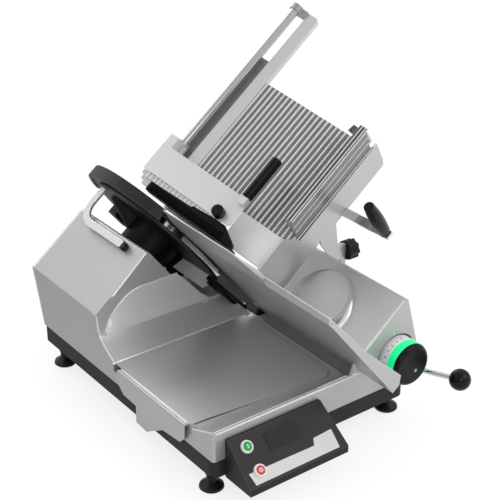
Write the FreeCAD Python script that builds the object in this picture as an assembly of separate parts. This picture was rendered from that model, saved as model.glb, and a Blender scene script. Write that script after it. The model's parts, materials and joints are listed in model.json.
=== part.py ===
import FreeCAD, Part
import math
import os

os.makedirs("parts", exist_ok=True)

Vec = FreeCAD.Vector

# Frame: X runs from the receiving tray to the food chute, Y from the user to the motor, Z up.
# The origin is on the table, midway between the four feet.
# Shapes are drawn above a ground plane at ground_z and set down on the table when they are saved.
X_AXIS = Vec(1, 0, 0)
Y_AXIS = Vec(0, 1, 0)
Z_AXIS = Vec(0, 0, 1)
ORIGIN = Vec(0, 0, 0)
ground_z = 14.0

# Clearances shared by mating pieces
run_gap = 0.08
rest_gap = 0.3
free_gap = 3.0
sink = 1.0
parallel_limit = 1e-6

# The tilt of the blade and the second tilt of the food table
tilt_deg = 38.4
table_deg = 20.0
tilt_sin = math.sin(math.radians(tilt_deg))
tilt_cos = math.cos(math.radians(tilt_deg))

# Body outline
body_left = -218.0
body_right = 212.0
body_front = -281.0
body_rear = 293.0
pan_floor_z = 56.0
body_bottom_z = 89.4
deck_z = 112.0
pan_corner_radius = 16.0
pan_wall = 4.0
cast_wall = 4.0
edge_round = 6.0
soft_round = 9.0

# Feet
foot_x = 199.0
foot_y = 248.0
foot_pad_radius = 22.0
foot_pad_height = 12.0
foot_neck_radius = 9.0
foot_top_radius = 15.0
foot_height = 38.0
stud_radius = 5.0
stud_nut_radius = 8.5
stud_nut_height = 5.0
stud_depth = 22.0
sides_of_nut = 6

# Blade, measured along the tilted frame d (blade axis), y and v
blade_face_d = 185.4
blade_axis_y = 233.7
blade_axis_v = 177.0
blade_radius = 165.0
blade_thickness = 4.0
blade_bevel_width = 17.0
blade_edge_land = 0.4
blade_bore_radius = 20.0
blade_bolt_circle = 32.0
blade_bolt_radius = 3.0
blade_bolt_count = 4
bolt_head_radius = 5.0
bolt_head_height = 3.0

# Blade cover on the food side and its knurled screw
cover_radius = 128.0
cover_thickness = 3.0
cover_dish = 1.5
cover_screw_radius = 16.0
cover_screw_height = 9.0
cover_stem_radius = 6.0

# Ring guard and guard plate behind the blade
ring_outer_radius = 178.0
ring_inner_radius = 168.5
ring_back_d = 163.0
ring_front_d = 187.0
ring_start_deg = 22.0
ring_end_deg = 135.0
ring_lip_inner = 140.0
ring_lip_thickness = 4.0
guard_plate_radius = 150.0
guard_plate_thickness = 6.0
plate_bore_radius = 47.0
rib_height = 30.0
rib_angle_deg = 68.0
rib_thickness = 7.0
latch_size_y = 26.0
latch_size_v = 48.0
latch_depth = 24.0
latch_y = 318.0
latch_v = 208.0

# Motor housing
roof_v = 293.5
end_wall_d = 105.5
motor_front_y = 85.0
motor_side_top_z = 202.0
motor_rear_y = 321.0
motor_rear_bottom_y = 293.0

# Swept surface between tray and motor housing
sweep_front_y = 28.0
sweep_front_z = 126.5
sweep_low_y = 55.0
sweep_low_z = 143.0
sweep_mid_y = 75.0
sweep_mid_z = 160.0
sweep_high_y = 83.0
sweep_high_z = 188.0
sweep_top_z = 229.0
sweep_back_y = 96.0
sweep_ledge_z = 160.0
sweep_end_d = 150.0

# Thickness control housing on the right
block_roof_v = 76.4
block_left_d = 200.8
block_right_d = 324.2
block_rear_y = -22.0
block_lean_x = 242.0
block_lean_z = 143.0
block_skirt_x = 236.0
block_skirt_z = 122.0
skirt_foot_z = 100.0
foot_slot_top_z = 113.0
channel_roof_z = 126.0
channel_left_x = 166.0

# Front rim and the wall behind the gauge plate
rim_top_z = 145.0
rim_thickness = 7.0
rim_right_x = 81.0
rim_step_z = 161.0
rim_return_y = -214.0
rim_return_z = 124.0
valley_d = 171.4
valley_top_v = 27.0
valley_rear_y = 52.0

# Raised boss on the control housing
boss_centre_d = 234.0
boss_centre_y = -130.0
boss_radius = 64.0
boss_height = 18.0
boss_cut_d = 204.0
boss_rim = 3.0
boss_scoop_d = 222.0
boss_scoop_radius = 220.0
boss_scoop_floor = 4.5

# Gauge plate
gauge_thickness = 14.0
gauge_front_y = -350.0
gauge_top_v = 281.0
gauge_step_y = -185.0
gauge_step_v = 290.0
gauge_rise_y = -115.0
gauge_rise_v = 319.0
gauge_horn_y = 88.0
gauge_horn_v = 326.0
gauge_bottom_v = 30.0
gauge_nose_v = 36.0
gauge_notch_v = 79.5
gauge_ridge_v = 273.0
gauge_bevel_width = 7.4
gauge_bevel_height = 9.0
gauge_taper_v = 205.0
gauge_taper_width = 4.4
gauge_hollow_radius = 213.0
gauge_hollow_depth = 4.0
gauge_bottom_rear_y = 49.0
gauge_bottom_rear_v = 70.0
gauge_skin = 2.5
gauge_travel = 20.0
gauge_slit_y = -110.3
gauge_slit_length = 28.4
gauge_slit_width = 4.0
gauge_slit_v = 33.0
flange_thickness = 4.0
flange_tip_width = 17.5
flange_width_low = 32.0
flange_low_v = 49.0
flange_narrow_v = 166.0
flange_shoulder_v = 208.0
flange_top_v = 272.0
flange_top_width = 5.7

# Thickness mechanism
dial_axis_d = 237.0
dial_axis_v = 0.0
slide_rod_radius = 8.0
slide_front_y = -236.0
slide_rear_y = -92.0
slide_v = 48.0
bush_outer_radius = 12.0
bush_flange_radius = 16.0
bush_flange_thickness = 2.0
bush_length = 20.0
yoke_thickness = 12.0
yoke_half_v = 14.0
yoke_overhang = 14.0
cam_radius = 31.0
cam_thickness = 14.0
cam_y = -190.0
cam_groove_width = 6.6
cam_groove_depth = 8.0
cam_groove_outer = 27.0
cam_turn_deg = 330.0
cam_steps = 33
cam_pin_radius = 3.0
cam_pin_reach = 7.0
lug_gap = 3.0
lug_thickness = 12.0
spindle_radius = 8.0
dial_bearing_radius = 15.0
dial_bearing_flange = 24.0
dial_bearing_flange_thickness = 4.0
dial_bearing_length = 46.0

# Dial
dial_gap_radius = 44.0
dial_gap_depth = 3.5
scale_radius = 41.0
scale_length = 19.0
index_ring_radius = 41.0
index_ring_length = 16.0
knob_radius = 40.0
knob_length = 9.0
knob_dome = 7.0

# Lever with the ball
lever_x = 222.0
lever_z = 112.0
lever_hub_radius = 7.0
lever_hub_length = 12.0
lever_stem_radius = 4.0
lever_stem_length = 8.0
lever_rod_radius = 5.0
ball_radius = 20.0
ball_x = 262.0
ball_y = -369.0
ball_z = 112.0

# Receiving tray
tray_top_z = 127.0
tray_thickness = 2.5
tray_left_x = -222.0
tray_left_front_y = -212.0
tray_right_front_y = -234.0
tray_right_x = 79.0
tray_rear_y = 27.0
tray_corner_radius = 22.0
tray_flap_drop = 38.0
tray_scallop_radius = 21.0
tray_scallop_y = -82.0
tray_scallop_pitch = 68.0
tray_flap_front_y = -212.0
tray_flap_rear_y = -45.0
tray_pin_radius = 5.0
tray_pin_x = 50.0
tray_pin_left_x = -180.0
tray_pin_y = -180.0
tray_pin_rear_y = -20.0

# Control panel
panel_left_x = -194.0
panel_right_x = 4.0
panel_right_low_x = 16.0
panel_top_y = -287.0
panel_top_z = 128.0
panel_low_y = -352.0
panel_low_z = 66.0
panel_bottom_z = 52.0
panel_wall = 3.0
button_radius = 10.0
button_travel = 3.0
button_height = 6.0
button_stem_radius = 5.0
button_stem_length = 14.0
start_x = -166.0
start_slide = 22.0
stop_x = -163.0
stop_slide = 66.0
window_left_x = -128.0
window_right_x = -62.0
window_near = 12.0
window_far = 44.0
plate_thickness = 1.0

# Food table, measured in d, a (up the table, away from the user) and n (table normal)
table_n = 150.0
table_thickness = 4.0
table_low_d = 284.0
table_high_d = 522.0
table_near_a = 8.7
table_far_a = 272.0
rib_pitch = 15.0
table_rib_height = 2.4
table_rib_width = 8.0
lower_near_a = 29.0
lower_far_a = 131.0
lower_low_d = 214.0
lower_lift = 2.0

# Front fence of the table
fence_height = 96.0
fence_low_d = 300.0
fence_high_d = 522.0
fence_thickness = 3.0
fence_post_thickness = 8.0
fence_post_reach = 18.0
fence_band = 12.0
fence_fold = 14.0

# Front wall and arm of the carriage
wall_y = -50.0
wall_thickness = 6.0
wall_left_d = 207.0
wall_lip_d = 278.0
wall_lip_v = 177.0
wall_step_d = 300.0
wall_step_v = 140.5
wall_right_d = 527.0
wall_tip_d = 536.0
wall_low_v = 94.0
wall_tip_v = 104.0
wall_corner_v = 144.0
arm_left_d = block_right_d + 1.8
arm_right_d = arm_left_d + 49.0
arm_waist_d = arm_left_d + 26.0
arm_waist_v = 55.0
arm_low_left_d = arm_left_d - 4.0
arm_low_v = 32.0
arm_shoulder_z = 256.0
arm_relief_radius = 3.5

# Carriage foot and its rod
rod_x = 196.0
rod_z = 101.0
rod_radius = 8.0
foot_plate_left_x = 250.0
foot_plate_thickness = 12.0
foot_block_half_z = 9.5
foot_block_left_x = 182.0
foot_block_length = 96.0
foot_plate_length = 44.0
foot_top_z = 226.0
bracket_length = 10.0
bracket_half = 13.0
lock_radius = 20.0
lock_length = 22.0
lock_lobe_radius = 5.0
lock_lobes = 8
lock_z = 240.0

# Push handle
handle_d = 402.0
handle_v = 97.0
handle_bar_half = 9.0
handle_bar_thickness = 6.0
handle_end_y = -178.0
grip_radius = 13.5
grip_neck_radius = 10.0
grip_length = 106.0
grip_lean_deg = 11.0
grip_flat = 4.0
grip_end_round = 5.0

# Rail at the far side of the table: a channel beside the table and a round rod between two blocks
rail_step_a = 299.0
rail_far_a = 338.0
rail_low_d = 238.0
rail_high_d = 690.0
rail_web_high_d = 565.0
rail_floor_n = 138.0
rail_top_n = 150.0
rail_wall = 3.0
rail_rod_radius = 9.5
rail_rod_n = 156.0
rail_rod_a = 324.0
rail_block_length = 13.0
rail_collar_radius = 13.0

# Remnant holder
holder_low_d = 262.0
holder_high_d = 322.0
holder_collar_width = 6.0
holder_sleeve_radius = 13.5
riser_half = 10.0
lug_size = 16.0
plate_low_d = 236.0
plate_high_d = 298.0
plate_near_a = 108.0
plate_far_a = 334.0
plate_n = 200.0
holder_plate_thickness = 3.0
comb_d = 204.0
comb_thickness = 6.0
comb_web_thickness = 6.0
comb_far_a = 322.0
comb_near_a = 128.0
comb_low_n = 157.0
comb_step_a = 262.0
comb_rise_a = 268.0
comb_lift = 6.0
comb_tooth_pitch = 10.0
comb_tooth_depth = 4.0
holder_grip_radius = 11.0
holder_grip_length = 94.0
holder_grip_a = 114.0
holder_knob_a = 141.0
holder_knob_d = 247.0
holder_knob_radius = 12.0
holder_knob_height = 18.0

# Bent bar between ring guard and motor housing
bar_thickness = 6.0
bar_width = 15.0
bar_y = 300.0
bar_low_v = 301.0
bar_bend_radius = 45.0
bar_back_d = 80.0
bar_end_y = 140.0
grommet_radius = 11.0

# Deflector and its hinge arm
deflector_near_y = 108.0
deflector_far_y = 200.0
deflector_near_v = 103.0
deflector_far_v = 120.0
deflector_low_d = 131.0
deflector_high_d = 159.0
deflector_thickness = 3.0
deflector_arm_half = 9.0
hinge_y = 66.0
hinge_v = 33.0
hinge_pin_radius = 3.5
hinge_head_radius = 6.0
hinge_head_height = 3.0

# Drive
neck_radius = 54.0
neck_flange_radius = 60.0
neck_flange_thickness = 6.0
neck_back_d = 88.0
neck_front_d = 160.0
neck_bore_radius = 22.0
shaft_radius = 12.5
shaft_back_d = 54.0
hub_radius = 44.0
hub_thickness = 10.0
bearing_outer_radius = 26.0
bearing_width = 14.0
blade_pulley_radius = 42.0
pulley_width = 22.0
pulley_back_d = 56.0
pulley_flange = 2.0
motor_radius = 52.0
motor_length = 104.0
motor_axis_y = 150.0
motor_axis_v = 190.0
motor_front_d = 44.0
motor_shaft_radius = 7.0
motor_shaft_length = 38.0
motor_pulley_radius = 20.0
belt_thickness = 3.0
belt_clear = 0.35
belt_edge_gap = 1.0
fin_count = 24
fin_depth = 3.0
fin_width = 4.0
carrier_thickness = 6.0
pillar_radius = 6.0
pillar_near_y = 100.0
pillar_far_y = 184.0
pillar_low_v = 130.0
pillar_high_v = 246.0

# Mains inlet
inlet_width = 50.0
inlet_height = 22.0
inlet_depth = 16.0
inlet_x = 120.0
inlet_flange = 3.0
inlet_pin_radius = 2.0
inlet_pin_pitch = 9.0


def to_blade(shape):
    """Turn a shape drawn along d, y, v into the part's frame."""
    shape.rotate(ORIGIN, Y_AXIS, -tilt_deg)
    return shape


def to_table(shape):
    """Turn a shape drawn along d, a, n of the food table into the part's frame."""
    shape.rotate(ORIGIN, X_AXIS, table_deg)
    return to_blade(shape)


def at(d, v):
    """Return the x and z of a point given along d and v."""
    return (d * tilt_cos - v * tilt_sin, d * tilt_sin + v * tilt_cos)


def x_on_d(d, z):
    """Return the x where the plane at d meets the height z."""
    return (d - z * tilt_sin) / tilt_cos


def box(x0, x1, y0, y1, z0, z1):
    """Return a block between two corners."""
    return Part.makeBox(x1 - x0, y1 - y0, z1 - z0, Vec(x0, y0, z0))


def rod(start, axis, radius, length):
    """Return a round bar."""
    return Part.makeCylinder(radius, length, start, axis)


def tube(start, axis, outer, inner, length):
    """Return a round tube."""
    return rod(start, axis, outer, length).cut(rod(start, axis, inner, length))


def polygon_face(points):
    """Return the flat face inside a closed line through the points."""
    return Part.Face(Part.makePolygon(points + [points[0]]))


def prism_y(points, y0, y1):
    """Extrude an outline of x, z points between two y values."""
    return polygon_face([Vec(x, y0, z) for x, z in points]).extrude(Vec(0, y1 - y0, 0))


def prism_x(points, x0, x1):
    """Extrude an outline of y, z points between two x values."""
    return polygon_face([Vec(x0, y, z) for y, z in points]).extrude(Vec(x1 - x0, 0, 0))


def prism_z(points, z0, z1):
    """Extrude an outline of x, y points between two z values."""
    return polygon_face([Vec(x, y, z0) for x, y in points]).extrude(Vec(0, 0, z1 - z0))


def inset_prism_y(points, inset, y0, y1):
    """Extrude an outline of x, z points drawn inwards by inset."""
    face = polygon_face([Vec(x, y0, z) for x, z in points])
    if inset > 0:
        face = face.makeOffset2D(-inset, join=2)
    return face.extrude(Vec(0, y1 - y0, 0))


def edges_along(shape, axis, wanted=None):
    """Return the straight edges that run along an axis and pass a test of their midpoint."""
    found = []
    for edge in shape.Edges:
        if not isinstance(edge.Curve, Part.Line):
            continue
        if edge.Curve.Direction.cross(axis).Length > parallel_limit:
            continue
        middle = edge.CenterOfMass
        if wanted is None or wanted(middle):
            found.append(edge)
    return found


def rounded(shape, radius, axis, wanted=None):
    """Round the straight edges along an axis."""
    return shape.makeFillet(radius, edges_along(shape, axis, wanted))


def joined(shapes):
    """Fuse shapes into one solid without inner seams."""
    return shapes[0].fuse(shapes[1:]).removeSplitter()


def save(shape, name):
    """Set one node down on the table and write it as a STEP file."""
    shape.translate(Vec(0, 0, -ground_z))
    shape.exportStep("parts/" + name + ".step")


def hexagon(centre, axis_length, radius):
    """Return a six-sided nut blank standing along Z."""
    step = 2 * math.pi / sides_of_nut
    corners = []
    for side in range(sides_of_nut):
        angle = side * step
        corners.append(centre + Vec(radius * math.cos(angle), radius * math.sin(angle), 0))
    return polygon_face(corners).extrude(Vec(0, 0, axis_length))


def foot_places():
    """Return the four foot centres on the table."""
    return [Vec(sx * foot_x, sy * foot_y, 0) for sx in (-1, 1) for sy in (-1, 1)]


# Base

def base_pan():
    """Build the moulded pan that closes the body from below."""
    outer = box(body_left, body_right, body_front, body_rear, pan_floor_z, body_bottom_z)
    outer = rounded(outer, pan_corner_radius, Z_AXIS)
    inner = box(body_left + pan_wall, body_right - pan_wall, body_front + pan_wall,
                body_rear - pan_wall, pan_floor_z + pan_wall, body_bottom_z + sink)
    inner = rounded(inner, pan_corner_radius - pan_wall, Z_AXIS)
    pan = outer.cut(inner)
    bosses = []
    for place in foot_places():
        low = place + Vec(0, 0, pan_floor_z)
        bosses.append(rod(low, Z_AXIS, foot_top_radius, stud_depth - stud_nut_height))
    pan = joined([pan] + bosses)
    for place in foot_places():
        pan = pan.cut(rod(place, Z_AXIS, stud_radius + run_gap, body_bottom_z))
    inlet_z = pan_floor_z + pan_wall + inlet_flange + sink
    pan = pan.cut(box(inlet_x - inlet_width / 2, inlet_x + inlet_width / 2, body_rear - pan_wall - sink,
                      body_rear + sink, inlet_z, inlet_z + inlet_height))
    return pan


def feet():
    """Build the four rubber feet, closed below and bored for their studs, by turning one outline."""
    bore = stud_radius + run_gap
    middle_z = ground_z + foot_pad_height / 2
    outline = [Vec(0, 0, ground_z), Vec(foot_pad_radius - 2 * sink, 0, ground_z),
               Vec(foot_pad_radius, 0, ground_z + 2 * sink), Vec(foot_pad_radius - sink, 0, middle_z),
               Vec(foot_neck_radius, 0, ground_z + foot_pad_height + 2 * sink),
               Vec(foot_neck_radius, 0, foot_height), Vec(foot_top_radius, 0, pan_floor_z),
               Vec(bore, 0, pan_floor_z), Vec(bore, 0, middle_z), Vec(0, 0, middle_z)]
    turned = polygon_face(outline).revolve(ORIGIN, Z_AXIS, 360)
    return Part.makeCompound([turned.translated(place) for place in foot_places()])


def foot_studs():
    """Build the four threaded studs with their nuts inside the pan."""
    studs = []
    for place in foot_places():
        low = place + Vec(0, 0, ground_z + foot_pad_height / 2)
        top_z = pan_floor_z + stud_depth - stud_nut_height
        shank = rod(low, Z_AXIS, stud_radius, top_z + 2 * stud_nut_height - low.z)
        nut = hexagon(place + Vec(0, 0, top_z), stud_nut_height, stud_nut_radius)
        studs.append(joined([shank, nut]))
    return Part.makeCompound(studs)


def mains_inlet():
    """Build the flush mains socket on the rear of the pan."""
    z0 = pan_floor_z + pan_wall + inlet_flange + sink
    left = inlet_x - inlet_width / 2
    right = inlet_x + inlet_width / 2
    body = box(left, right, body_rear - inlet_depth, body_rear, z0, z0 + inlet_height)
    flange = box(left - inlet_flange, right + inlet_flange, body_rear, body_rear + inlet_flange,
                 z0 - inlet_flange, z0 + inlet_height + inlet_flange)
    socket = box(left + 2 * inlet_flange, right - 2 * inlet_flange, body_rear - inlet_depth + inlet_flange,
                 body_rear + 2 * inlet_flange, z0 + inlet_flange, z0 + inlet_height - inlet_flange)
    shell = joined([body, flange]).cut(socket)
    pins = []
    for step in (-1, 0, 1):
        centre = Vec(inlet_x + step * inlet_pin_pitch, body_rear - inlet_depth + inlet_flange - sink,
                     z0 + inlet_height / 2)
        pins.append(rod(centre, Y_AXIS, inlet_pin_radius, inlet_depth - inlet_flange))
    return joined([shell] + pins)


# Cast body

def ridge_point(inset):
    """Return the x, z of the motor housing's ridge."""
    return at(end_wall_d - inset, roof_v - inset)


def motor_volume(inset):
    """Build the motor housing's outer or inner volume."""
    left = body_left + inset
    low = body_bottom_z - (sink if inset else 0)
    roof_z = (roof_v - inset + left * tilt_sin) / tilt_cos
    points = [(left, low), (left, roof_z), ridge_point(inset), (x_on_d(end_wall_d - inset, low), low)]
    shape = prism_y(points, motor_front_y + inset, motor_rear_y - inset)
    rear = motor_rear_y - inset
    wedge = prism_x([(motor_rear_bottom_y - inset, low - sink), (rear + sink, low - sink),
                     (rear + sink, motor_side_top_z), (rear, motor_side_top_z)], body_left - sink, body_right)
    shape = shape.cut(wedge)
    if not inset:
        shape = rounded(shape, edge_round, Y_AXIS, lambda m: m.z > motor_side_top_z - soft_round)
    return shape


def sweep_volume(inset):
    """Build the swept surface that rises from the tray to the motor housing."""
    base = body_bottom_z - (sink if inset else 0)
    curve = Part.BSplineCurve()
    curve.interpolate([Vec(0, sweep_front_y + inset, sweep_front_z - inset),
                       Vec(0, sweep_low_y + inset / 2, sweep_low_z - inset),
                       Vec(0, sweep_mid_y + inset, sweep_mid_z - inset / 2),
                       Vec(0, sweep_high_y + inset, sweep_high_z),
                       Vec(0, motor_front_y + inset, sweep_top_z)])
    back = sweep_back_y if not inset else sweep_back_y - inset
    back = max(back, motor_front_y + inset + sink)
    top_edge = Part.makePolygon([Vec(0, motor_front_y + inset, sweep_top_z), Vec(0, back, sweep_top_z),
                                 Vec(0, back, base), Vec(0, sweep_front_y + inset, base),
                                 Vec(0, sweep_front_y + inset, sweep_front_z - inset)])
    wire = Part.Wire([curve.toShape()] + top_edge.Edges)
    shape = Part.Face(wire).extrude(Vec(body_right - body_left, 0, 0))
    shape.translate(Vec(body_left, 0, 0))
    left = body_left + inset
    roof_z = (roof_v - inset + left * tilt_sin) / tilt_cos
    ledge = sweep_ledge_z - inset
    limit = [(left, base), (left, roof_z), ridge_point(inset), (x_on_d(end_wall_d - inset, ledge), ledge),
             (x_on_d(sweep_end_d - inset, ledge), ledge), (x_on_d(sweep_end_d - inset, base), base)]
    return shape.common(prism_y(limit, sweep_front_y - sink, sweep_back_y + sink))


def block_outline():
    """Return the x, z outline of the thickness control housing."""
    return [at(block_left_d, block_roof_v), at(block_right_d, block_roof_v), (block_lean_x, block_lean_z),
            (block_skirt_x, block_skirt_z), (body_right, skirt_foot_z), (body_right, body_bottom_z),
            (x_on_d(block_left_d, body_bottom_z), body_bottom_z)]


def block_volume(inset):
    """Build the thickness control housing's outer or inner volume."""
    front = body_front + (rim_thickness if inset else 0)
    shape = inset_prism_y(block_outline(), inset, front, block_rear_y - inset)
    if not inset:
        roof_x = at(block_left_d, block_roof_v)[0]
        low_z = block_lean_z + soft_round
        shape = rounded(shape, edge_round, Y_AXIS, lambda m: m.z > low_z and m.x > roof_x + sink)
    return shape


def boss():
    """Build the round boss with its scooped top, cut flat on the side of the gauge plate."""
    top = block_roof_v + boss_height
    centre = Vec(boss_centre_d, boss_centre_y, block_roof_v - sink)
    post = rod(centre, Z_AXIS, boss_radius, boss_height + sink)
    recess = rod(centre, Z_AXIS, boss_radius - boss_rim, boss_height + 2 * sink)
    near = boss_centre_y - boss_radius
    far = boss_centre_y + boss_radius
    left = boss_centre_d - boss_radius - sink
    low = block_roof_v - 2 * sink
    post = post.cut(box(left, boss_cut_d, near - sink, far + sink, low, top + sink))
    recess = recess.cut(box(left, boss_cut_d + boss_rim, near, far, low, top + 2 * sink))
    axis_v = block_roof_v + boss_scoop_floor + boss_scoop_radius
    scoop = rod(Vec(boss_scoop_d, near, axis_v), Y_AXIS, boss_scoop_radius, far - near)
    return to_blade(post.cut(recess.common(scoop)))


def valley_outline():
    """Return the x, z outline of the sloping wall under the gauge plate."""
    return [(x_on_d(valley_d, body_bottom_z), body_bottom_z), at(valley_d, valley_top_v),
            at(block_left_d + 2 * cast_wall, valley_top_v),
            (body_right, channel_roof_z), (body_right, body_bottom_z)]


def front_wall():
    """Build the front face that runs from the rim up to the control housing."""
    corner = at(block_left_d, block_roof_v)
    points = [(body_left, body_bottom_z), (body_left, rim_top_z), (rim_right_x, rim_top_z),
              (rim_right_x + rim_thickness, rim_step_z), corner, at(block_right_d - soft_round, block_roof_v),
              (block_skirt_x - soft_round, block_skirt_z), (body_right, skirt_foot_z),
              (body_right, body_bottom_z)]
    wall = prism_y(points, body_front, body_front + rim_thickness)
    ends = [(body_front, deck_z), (body_front, rim_top_z), (body_front + rim_thickness, rim_top_z),
            (rim_return_y, rim_return_z), (rim_return_y, deck_z)]
    side = prism_x(ends, body_left, body_left + rim_thickness)
    return [wall, side]


def housing():
    """Build the one-piece cast body: outer volumes fused, inner volumes taken out."""
    deck = box(body_left, body_right, body_front, body_rear, body_bottom_z, deck_z)
    channel = box(channel_left_x, body_right, body_front, body_rear, body_bottom_z, channel_roof_z)
    valley = prism_y(valley_outline(), body_front, valley_rear_y)
    volumes = [deck, channel, valley, block_volume(0), boss(), motor_volume(0), sweep_volume(0)]
    outer = joined(volumes + front_wall())
    corners = edges_along(outer, Z_AXIS, lambda m: abs(m.x - body_left) < sink and m.y < 0)
    outer = outer.makeFillet(edge_round, corners)
    low = body_bottom_z - sink
    deck_in = box(body_left + cast_wall, body_right - cast_wall, body_front + cast_wall,
                  body_rear - cast_wall, low, deck_z - cast_wall)
    channel_in = box(channel_left_x + cast_wall, body_right + sink, body_front + cast_wall,
                     body_rear - cast_wall, low, channel_roof_z - cast_wall)
    valley_in = inset_prism_y(valley_outline(), cast_wall, body_front + cast_wall, valley_rear_y - cast_wall)
    foot_slot = box(channel_left_x + cast_wall, block_skirt_x + sink, body_front + rim_thickness,
                    body_rear - cast_wall, low, foot_slot_top_z)
    inner = [deck_in, channel_in, valley_in, foot_slot, block_volume(cast_wall), motor_volume(cast_wall),
             sweep_volume(cast_wall)]
    body = outer
    for hollow in inner:
        body = body.cut(hollow)
    return body.cut(housing_holes())


def dial_point(y):
    """Return the point of the dial axis at a given y."""
    x, z = at(dial_axis_d, dial_axis_v)
    return Vec(x, y, z)


def housing_holes():
    """Build the bores that other pieces pass through."""
    neck_hole = rod(on_blade(neck_back_d), X_AXIS, neck_radius + rest_gap, 2 * neck_radius)
    holes = [to_blade(neck_hole),
             rod(dial_point(body_front - sink), Y_AXIS, dial_gap_radius, dial_gap_depth + sink),
             rod(dial_point(body_front), Y_AXIS, spindle_radius + sink, 2 * rim_thickness)]
    for y in (slide_front_y, slide_rear_y):
        holes.append(to_blade(rod(Vec(block_left_d - sink, y, slide_v), X_AXIS,
                                  bush_outer_radius + run_gap, 2 * cast_wall)))
    holes.append(to_blade(rod(Vec(sweep_end_d - 2 * cast_wall, hinge_y, hinge_v), X_AXIS,
                              hinge_pin_radius + run_gap, 3 * cast_wall)))
    hub = Vec(lever_x, body_front - sink, lever_z)
    holes.append(rod(hub, Y_AXIS, lever_stem_radius + run_gap, 2 * rim_thickness))
    return Part.makeCompound(holes)


# Blade, guards and drive

def on_blade(d):
    """Return the blade axis point at d."""
    return Vec(d, blade_axis_y, blade_axis_v)


def blade():
    """Build the round blade by turning its bevelled section."""
    back = blade_face_d - blade_thickness
    edge_d = blade_face_d - blade_edge_land
    outline = [Vec(back, blade_bore_radius, 0), Vec(back, blade_radius - blade_bevel_width, 0),
               Vec(edge_d, blade_radius, 0), Vec(blade_face_d, blade_radius, 0),
               Vec(blade_face_d, cover_radius + free_gap, 0), Vec(blade_face_d - cover_dish, cover_radius, 0),
               Vec(blade_face_d - cover_dish, blade_bore_radius, 0)]
    disc = polygon_face(outline).revolve(ORIGIN, X_AXIS, 360)
    disc.translate(Vec(0, blade_axis_y, blade_axis_v))
    for index in range(blade_bolt_count):
        disc = disc.cut(rod(bolt_place(index, back - sink), X_AXIS, blade_bolt_radius + run_gap,
                            blade_thickness + 2 * sink))
    return to_blade(disc)


def bolt_place(index, d):
    """Return one place on the blade's bolt circle."""
    angle = 2 * math.pi * index / blade_bolt_count
    return on_blade(d) + Vec(0, blade_bolt_circle * math.cos(angle), blade_bolt_circle * math.sin(angle))


def blade_bolts():
    """Build the bolts that hold the blade on its hub."""
    bolts = []
    head_d = blade_face_d - cover_dish
    for index in range(blade_bolt_count):
        shank = rod(bolt_place(index, head_d - hub_thickness), X_AXIS, blade_bolt_radius, hub_thickness)
        head = rod(bolt_place(index, head_d), X_AXIS, bolt_head_radius, bolt_head_height)
        bolts.append(to_blade(joined([shank, head])))
    return Part.makeCompound(bolts)


def blade_cover():
    """Build the round cover on the food side, hollow over the bolt heads."""
    face_d = blade_face_d - cover_dish
    skin = cover_thickness
    disc = rod(on_blade(face_d), X_AXIS, cover_radius - sink, bolt_head_height + skin + sink)
    edges = [edge for edge in disc.Edges if edge.CenterOfMass.x > face_d + skin]
    disc = disc.makeChamfer(skin, edges[:1])
    room = rod(on_blade(face_d - sink), X_AXIS, blade_bolt_circle + 2 * bolt_head_radius,
               bolt_head_height + 2 * sink)
    bore = rod(on_blade(face_d - sink), X_AXIS, cover_stem_radius + run_gap, hub_thickness + skin)
    return to_blade(disc.cut(room).cut(bore))


def cover_screw():
    """Build the knurled screw in the middle of the blade cover."""
    seat_d = blade_face_d - cover_dish + bolt_head_height + cover_thickness + sink
    head = rod(on_blade(seat_d), X_AXIS, cover_screw_radius, cover_screw_height)
    notches = []
    for index in range(2 * lock_lobes):
        angle = math.pi * index / lock_lobes
        out = Vec(0, cover_screw_radius * math.cos(angle), cover_screw_radius * math.sin(angle))
        notches.append(rod(on_blade(seat_d) + out, X_AXIS, sink, cover_screw_height))
    head = head.cut(notches[0].fuse(notches[1:]))
    stem_end = blade_face_d - cover_dish
    stem = rod(on_blade(stem_end), X_AXIS, cover_stem_radius, seat_d - stem_end)
    return to_blade(joined([head, stem]))


def blade_shaft():
    """Build the blade shaft with its hub flange and spigot."""
    hub_d = blade_face_d - blade_thickness - hub_thickness
    shaft = rod(on_blade(shaft_back_d), X_AXIS, shaft_radius, hub_d - shaft_back_d + sink)
    hub = rod(on_blade(hub_d), X_AXIS, hub_radius, hub_thickness)
    spigot = rod(on_blade(hub_d + hub_thickness - sink), X_AXIS, blade_bore_radius - run_gap,
                 blade_thickness - cover_dish + sink)
    shape = joined([shaft, hub, spigot])
    for index in range(blade_bolt_count):
        shape = shape.cut(rod(bolt_place(index, hub_d - sink), X_AXIS, blade_bolt_radius + run_gap,
                              2 * hub_thickness))
    return to_blade(shape)


def neck():
    """Build the bearing neck between motor housing and blade by turning its section."""
    step_back = neck_back_d + bearing_width
    step_front = neck_front_d - bearing_width
    flange_end = end_wall_d + neck_flange_thickness
    seat = bearing_outer_radius + run_gap
    outline = [Vec(neck_back_d, seat, 0), Vec(neck_back_d, neck_radius, 0), Vec(end_wall_d, neck_radius, 0),
               Vec(end_wall_d, neck_flange_radius, 0), Vec(flange_end, neck_flange_radius, 0),
               Vec(flange_end + free_gap, neck_radius, 0), Vec(neck_front_d, neck_radius, 0),
               Vec(neck_front_d, seat, 0), Vec(step_front, seat, 0), Vec(step_front, neck_bore_radius, 0),
               Vec(step_back, neck_bore_radius, 0), Vec(step_back, seat, 0)]
    shape = polygon_face(outline).revolve(ORIGIN, X_AXIS, 360)
    shape.translate(Vec(0, blade_axis_y, blade_axis_v))
    return to_blade(shape)


def bearings():
    """Build the two ball bearings of the blade shaft as closed rings."""
    rings = []
    for d in (neck_back_d, neck_front_d - bearing_width):
        ring = tube(on_blade(d), X_AXIS, bearing_outer_radius, shaft_radius + run_gap, bearing_width)
        rings.append(to_blade(ring))
    return Part.makeCompound(rings)


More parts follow.
